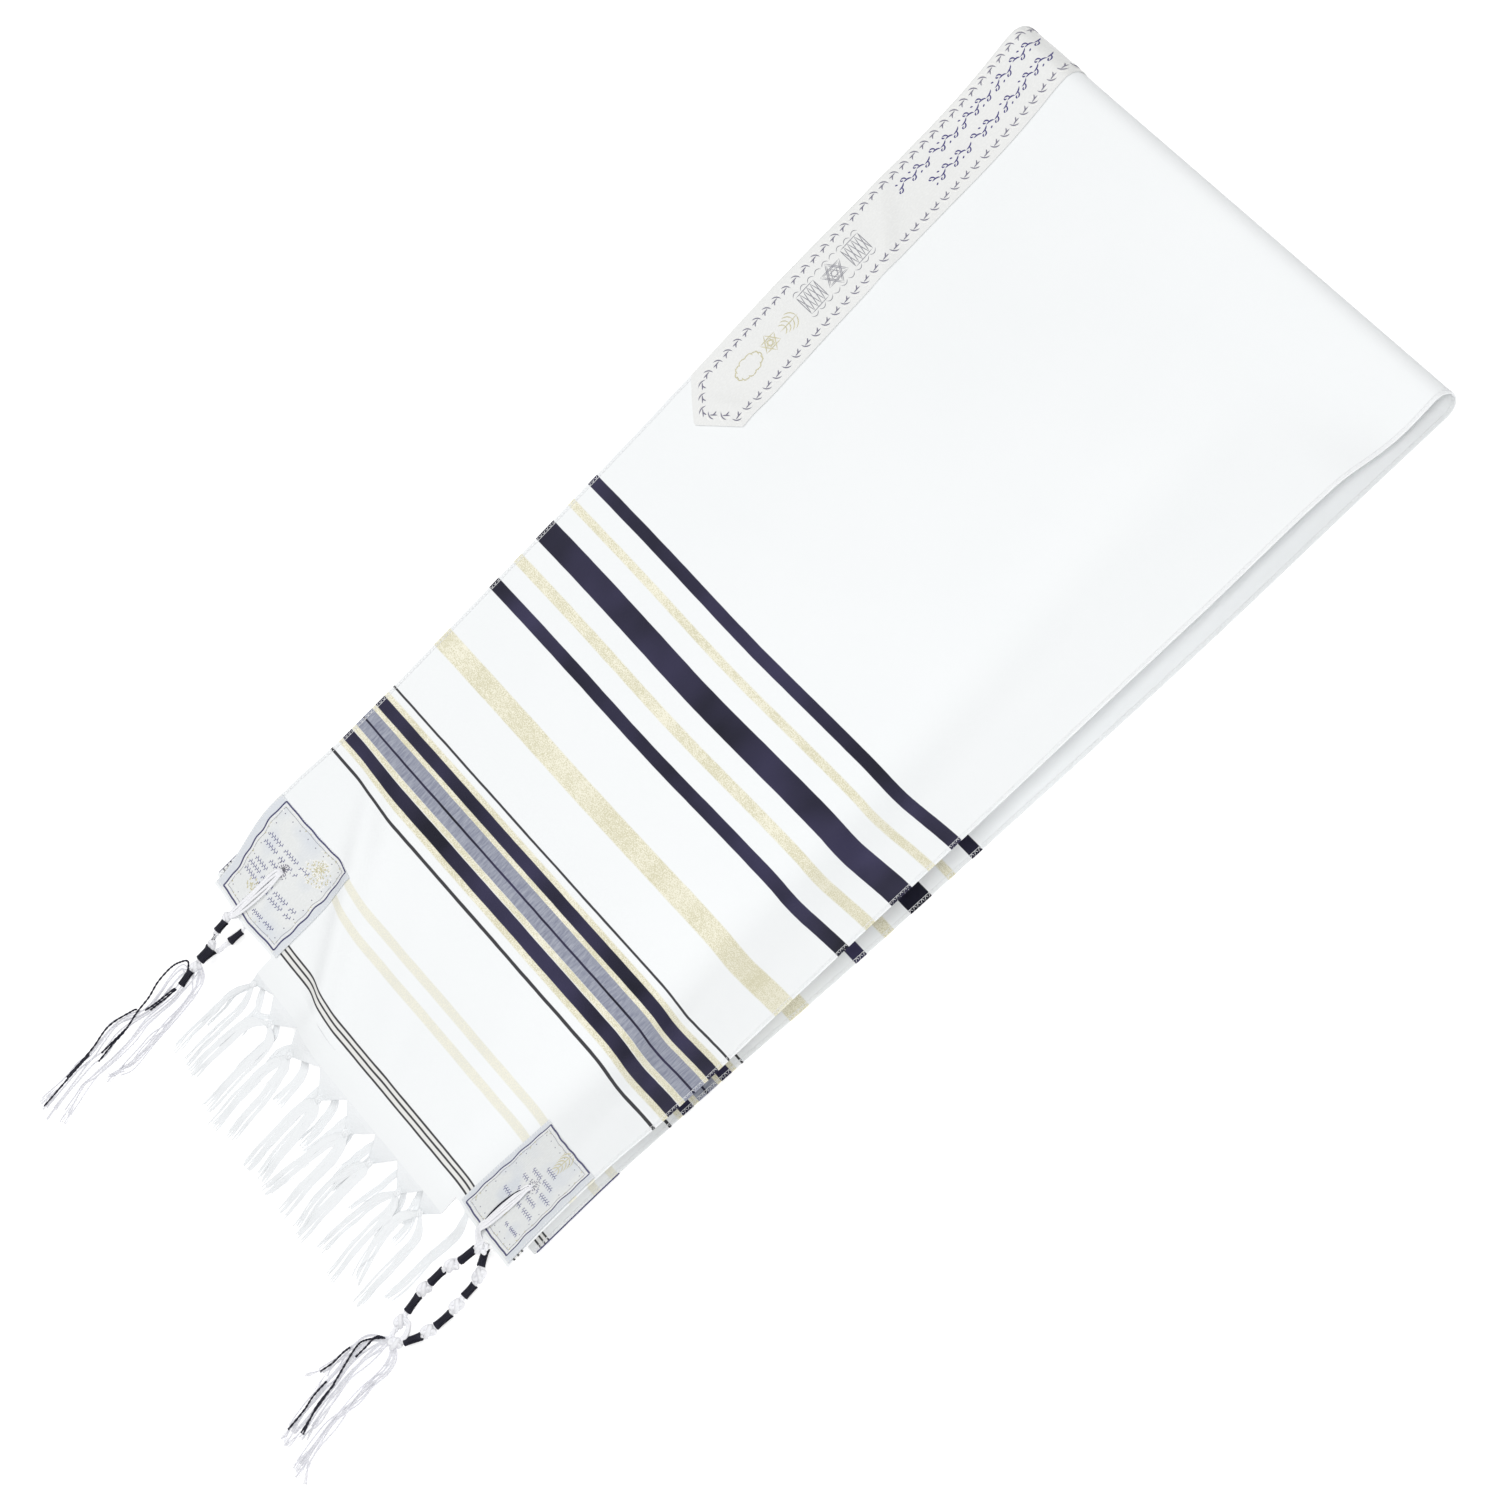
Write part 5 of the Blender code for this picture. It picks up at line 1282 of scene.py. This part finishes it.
def from_eyelet(node):
    """The eyelet's place across the cloth, and how far across its cord moves for each metre down."""
    edge_u = EYELET_U if node.endswith("left") else WIDTH - EYELET_U
    return edge_u, CORD_DRIFT[node] / (UPPER - EYELET_V)


def strands_to_hem(node, first):
    """An upper cord between its eyelet and the column: white strands side by side, some over the
    cloth and some under it, open between their ends by a sine."""
    edge_u, drift = from_eyelet(node)
    over, under = TRIM_TOP + GAP + CORD, -(WALL / 2 + GAP + CORD)
    made = []
    for steps, lift, count, opened in ((STEPS, np.array([0.0004] + [over] * 5), 4, 0.0026),
                                       (STEPS[1:], under, 3, 0.0020)):
        u, v = edge_u + drift * steps, EYELET_V + steps
        line = smooth_path(np.vstack([laid(u, v, lift), first]), 44)
        up = smooth_path(np.vstack([outward(u, v), SKYWARD]), 44)
        side = unit(np.cross(np.gradient(line, axis=0), up))
        t = np.linspace(0.0, 1.0, len(line))
        for number in range(count):
            apart = (number - (count - 1) / 2) * opened * (0.28 + 0.72 * np.sin(t * math.pi) ** 0.7)
            apart = apart + 0.0004 * np.sin(9 * t + 2 * number)
            strand = line + side * apart[:, None] + up * (0.0002 * np.cos(7 * t + number))[:, None]
            made.append(threads(strand[None], up[None], CORD, CORD * 0.75, 7))
    return made


def slack_strand(node):
    """A navy strand that bows away from the white ones between the eyelet and the hem."""
    edge_u, drift = from_eyelet(node)
    down = np.linspace(SLACK_FROM, SLACK_TO, 30)
    bow = np.sin(math.pi * down / (SLACK_FROM + SLACK_TO)) ** 0.6
    beside = laid(edge_u + drift * down - SLACK_OUT * bow, EYELET_V + down, TRIM_TOP + SLACK_UP * bow)
    return threads(beside[None], SKYWARD, 0.0007, 0.0006, 6)


def cord_under(node, first):
    """A lower cord: two plies that run under the cloth from the eyelet to the column."""
    edge_u, drift = from_eyelet(node)
    points = laid(edge_u + drift * STEPS_UNDER, other_half(EYELET_V + STEPS_UNDER), DEPTH_UNDER)
    return plies(smooth_path(np.vstack([points, first]), 40), 0.0006, 0.0005, 8, 2)


def column(rows, line):
    """A column along its middle, as white parts and navy ones: a core, and from each row on either
    close windings round it or three plies, some with a knot."""
    white, navy = [threads(line[None], SKYWARD, CORE, CORE, 6)], []
    for number, row in enumerate(rows[:-1]):
        stretch = line[ROW_STEPS * number:ROW_STEPS * (number + 1) + 1]
        ends = row[3], rows[number + 1][3]
        if row[4] == "navy":
            turns = max(3, round(length_of(stretch) / (2 * WINDING * 0.97)))
            fine = smooth_path(stretch[::12], turns * 10)
            taper = np.linspace(*ends, turns * 10)
            flare = 1 + 0.16 * np.abs(np.linspace(-1, 1, turns * 10)) ** 3
            navy.append(plies(fine, (taper - WINDING) * flare, WINDING * 1.08, turns, 1))
            core = np.linspace(*ends, ROW_STEPS + 1) - 0.0008
            navy.append(threads(stretch[None], SKYWARD, core, core, 8))
            continue
        white.append(plies(stretch, CORD_WOUND, CORD_PLY, length_of(stretch) / CORD_LAY, 3, number))
        if row[4] == "knot":
            at = ROW_STEPS * number + (4 if number == 0 else 0)
            white.append(knot_on(line, at, row[3] + KNOT_OVER, CORD_KNOT_PLY))
    return white, navy


def slack_loop(reach):
    """A loop of cord that stands out beside the last knot, further out by its reach."""
    loop = np.array([
        (0.1690, -0.5475, 0.0060), (0.1722 - reach / 2, -0.5520 + reach, 0.0064),
        (0.1775, -0.5525 + reach, 0.0066), (0.1808 + reach, -0.5590, 0.0062),
        (0.1790 + reach / 2, -0.5660, 0.0056), (0.1760, -0.5705, 0.0050)])
    return threads(smooth_path(loop + PLACE, 40)[None], SKYWARD, 0.0013, 0.0012, 7)


def tail_path(number, colour, places, rest, end):
    """One tail's middle: it falls from the column's end to its rest within a few centimetres, and its
    start is drawn to that end where it begins beside it."""
    places = np.reshape(places, (-1, 2)) / 1000
    level = rest + 0.0009 * (number % 3) + (0.0032 if colour == "navy" else 0.0)
    fall = ease((places[0, 1] - places[:, 1]) / TAIL_FALL)
    height = level + (max(end[2], level) - level) * (1 - fall)
    points = np.column_stack([places, height]) + PLACE
    if points[0, 1] > end[1] - 0.012:
        points[0, :2] = (points[0, :2] + end[:2]) / 2
    return smooth_path(points, 9 * len(points))


def white_tail(tail, number, random):
    """Two twisted strands side by side along a tail, and single fibres frayed from its tip."""
    turns = length_of(tail) / WHITE_LAY
    ahead, side, up = frames(tail)
    t = np.linspace(0.0, 1.0, len(tail))
    apart = side * (0.0008 + 0.0014 * np.sin(5.5 * t + 1.9 * number) ** 2)[:, None]
    made = [plies(tail + twin * apart, WHITE_WOUND, WHITE_PLY, turns, 3, number) for twin in (-1, 1)]
    t = np.linspace(0.0, 1.0, 10)
    wild = random.uniform(-1, 1, (6, 2))
    frayed = wild[:, :1] * 0.0022 * t ** 1.4 + 0.0006 * np.sin(5 * t + 6 * wild[:, 1:]) * t
    fine = tail[-6] + ahead[-3] * (t * 0.016)[:, None] + side[-3] * frayed[..., None]
    return made + [threads(fine, up[-3], FIBRE, FIBRE, 4)]


CORD_WHITE = thread_finish("cord_white", (0.875, 0.878, 0.905), 0.60, 0.0026, 0.3, 0.93)
# The tails' white is the cord's white painted darker, with deeper painted shade in its twist, so that
# the tails read as shaded strands.
SHADED_TAIL_WHITE = thread_finish("tail_white", (0.840, 0.842, 0.885), 0.60, 0.0026, 0.5, 0.80)
CORD_NAVY = thread_finish("cord_navy", (0.014, 0.014, 0.027), 0.55, 0.0018, 0.6,
                          constants={"Specular IOR Level": 0.25})
for node, rows in COLUMNS.items():
    random = np.random.default_rng(len(node) + len(rows))
    layer = "upper" if "upper" in node else "lower"
    first = np.array(rows[0][:3]) + PLACE
    cord = strands_to_hem(node, first) if layer == "upper" else [cord_under(node, first)]
    line = smooth_path(np.array([row[:3] for row in rows]) + PLACE, ROW_STEPS * (len(rows) - 1) + 1)
    white, windings = column(rows, line)
    cord += white
    if node == "tzitzit_upper_right":
        windings.insert(0, slack_strand(node))
        cord += [slack_loop(0.0), slack_loop(0.0022)]
    tails = []
    for number, (colour, *places) in enumerate(TAILS[node]):
        tail = tail_path(number, colour, places, TAIL_REST[layer], line[-1])
        if colour == "navy":
            turns = length_of(tail) / NAVY_LAY
            windings.append(plies(tail, NAVY_WOUND, NAVY_PLY, turns, 2, number))
        else:
            tails += white_tail(tail, number, random)
    make_piece(f"{node}_cord", cord, CORD_WHITE, [node])
    make_piece(f"{node}_tails", tails, SHADED_TAIL_WHITE)
    make_piece(f"{node}_windings", windings, CORD_NAVY)

# --- Floor, light and camera ----------------------------------------------------------------------
# A plain white sweep, faintly lit through from below, soft studio light from high up on both sides,
# and a long lens.
FLOOR_HALF, FLOOR_Z, ROOM_LIGHT = 14, -0.0004, 0.40
ground = bpy.data.meshes.new("floor")
ground.from_pydata([(x * FLOOR_HALF, y * FLOOR_HALF, FLOOR_Z)
                    for x, y in ((-1, -1), (1, -1), (1, 1), (-1, 1))], [], [(0, 1, 2, 3)])
floor = bpy.data.objects.new("floor", ground)
bpy.context.scene.collection.objects.link(floor)
PALE = Finish("floor_paper", (0.96, 0.96, 0.96), 0.9, {
    "Specular IOR Level": 0.1, "Emission Color": (1.0, 1.0, 1.0), "Emission Strength": 0.30})
ground.materials.append(PALE.material)

world = bpy.data.worlds.new("studio")
bpy.context.scene.world = world
world.use_nodes = True
world.node_tree.nodes["Background"].inputs["Color"].default_value = (1.0, 1.0, 1.0, 1.0)
world.node_tree.nodes["Background"].inputs["Strength"].default_value = ROOM_LIGHT
LAMPS = [
    # name, place, size and power, each turned towards the cloth's middle
    ("key", (1.3, 0.0, 2.6), 1.2, 45.0), ("fill", (-1.8, 0.1, 2.1), 1.8, 26.5),
]
for name, at, size, power in LAMPS:
    lamp = bpy.data.lights.new(name, "AREA")
    lamp.size = size
    lamp.energy = power
    holder = bpy.data.objects.new(name, lamp)
    away = unit(np.array(at))
    level = unit(np.cross(SKYWARD, away))
    holder.matrix_world = Matrix.LocRotScale(
        at, Matrix(np.stack([level, np.cross(away, level), away], 1).tolist()), None)
    bpy.context.scene.collection.objects.link(holder)

# The camera's axes, and its picture turned an eighth of the way round over them
RIGHT = np.array((0.8877, 0.0050, -0.4603))
UP = np.array((-0.0214, 0.9993, -0.0304))
BACK = np.array((0.4599, 0.0368, 0.8872))
CAMERA_AT = np.array((1.3548, 0.0187, 2.5418))
turned = np.stack([(RIGHT + UP) / math.sqrt(2), (UP - RIGHT) / math.sqrt(2), BACK], 1)
lens = bpy.data.cameras.new("camera")
lens.sensor_width, lens.lens = 36.0, 93.6
lens.clip_end = 30.0
camera = bpy.data.objects.new("camera", lens)
camera.matrix_world = Matrix.LocRotScale(CAMERA_AT + PLACE, Matrix(turned.tolist()), None)
bpy.context.scene.collection.objects.link(camera)
bpy.context.scene.camera = camera
bpy.context.scene.view_settings.view_transform = "Standard"
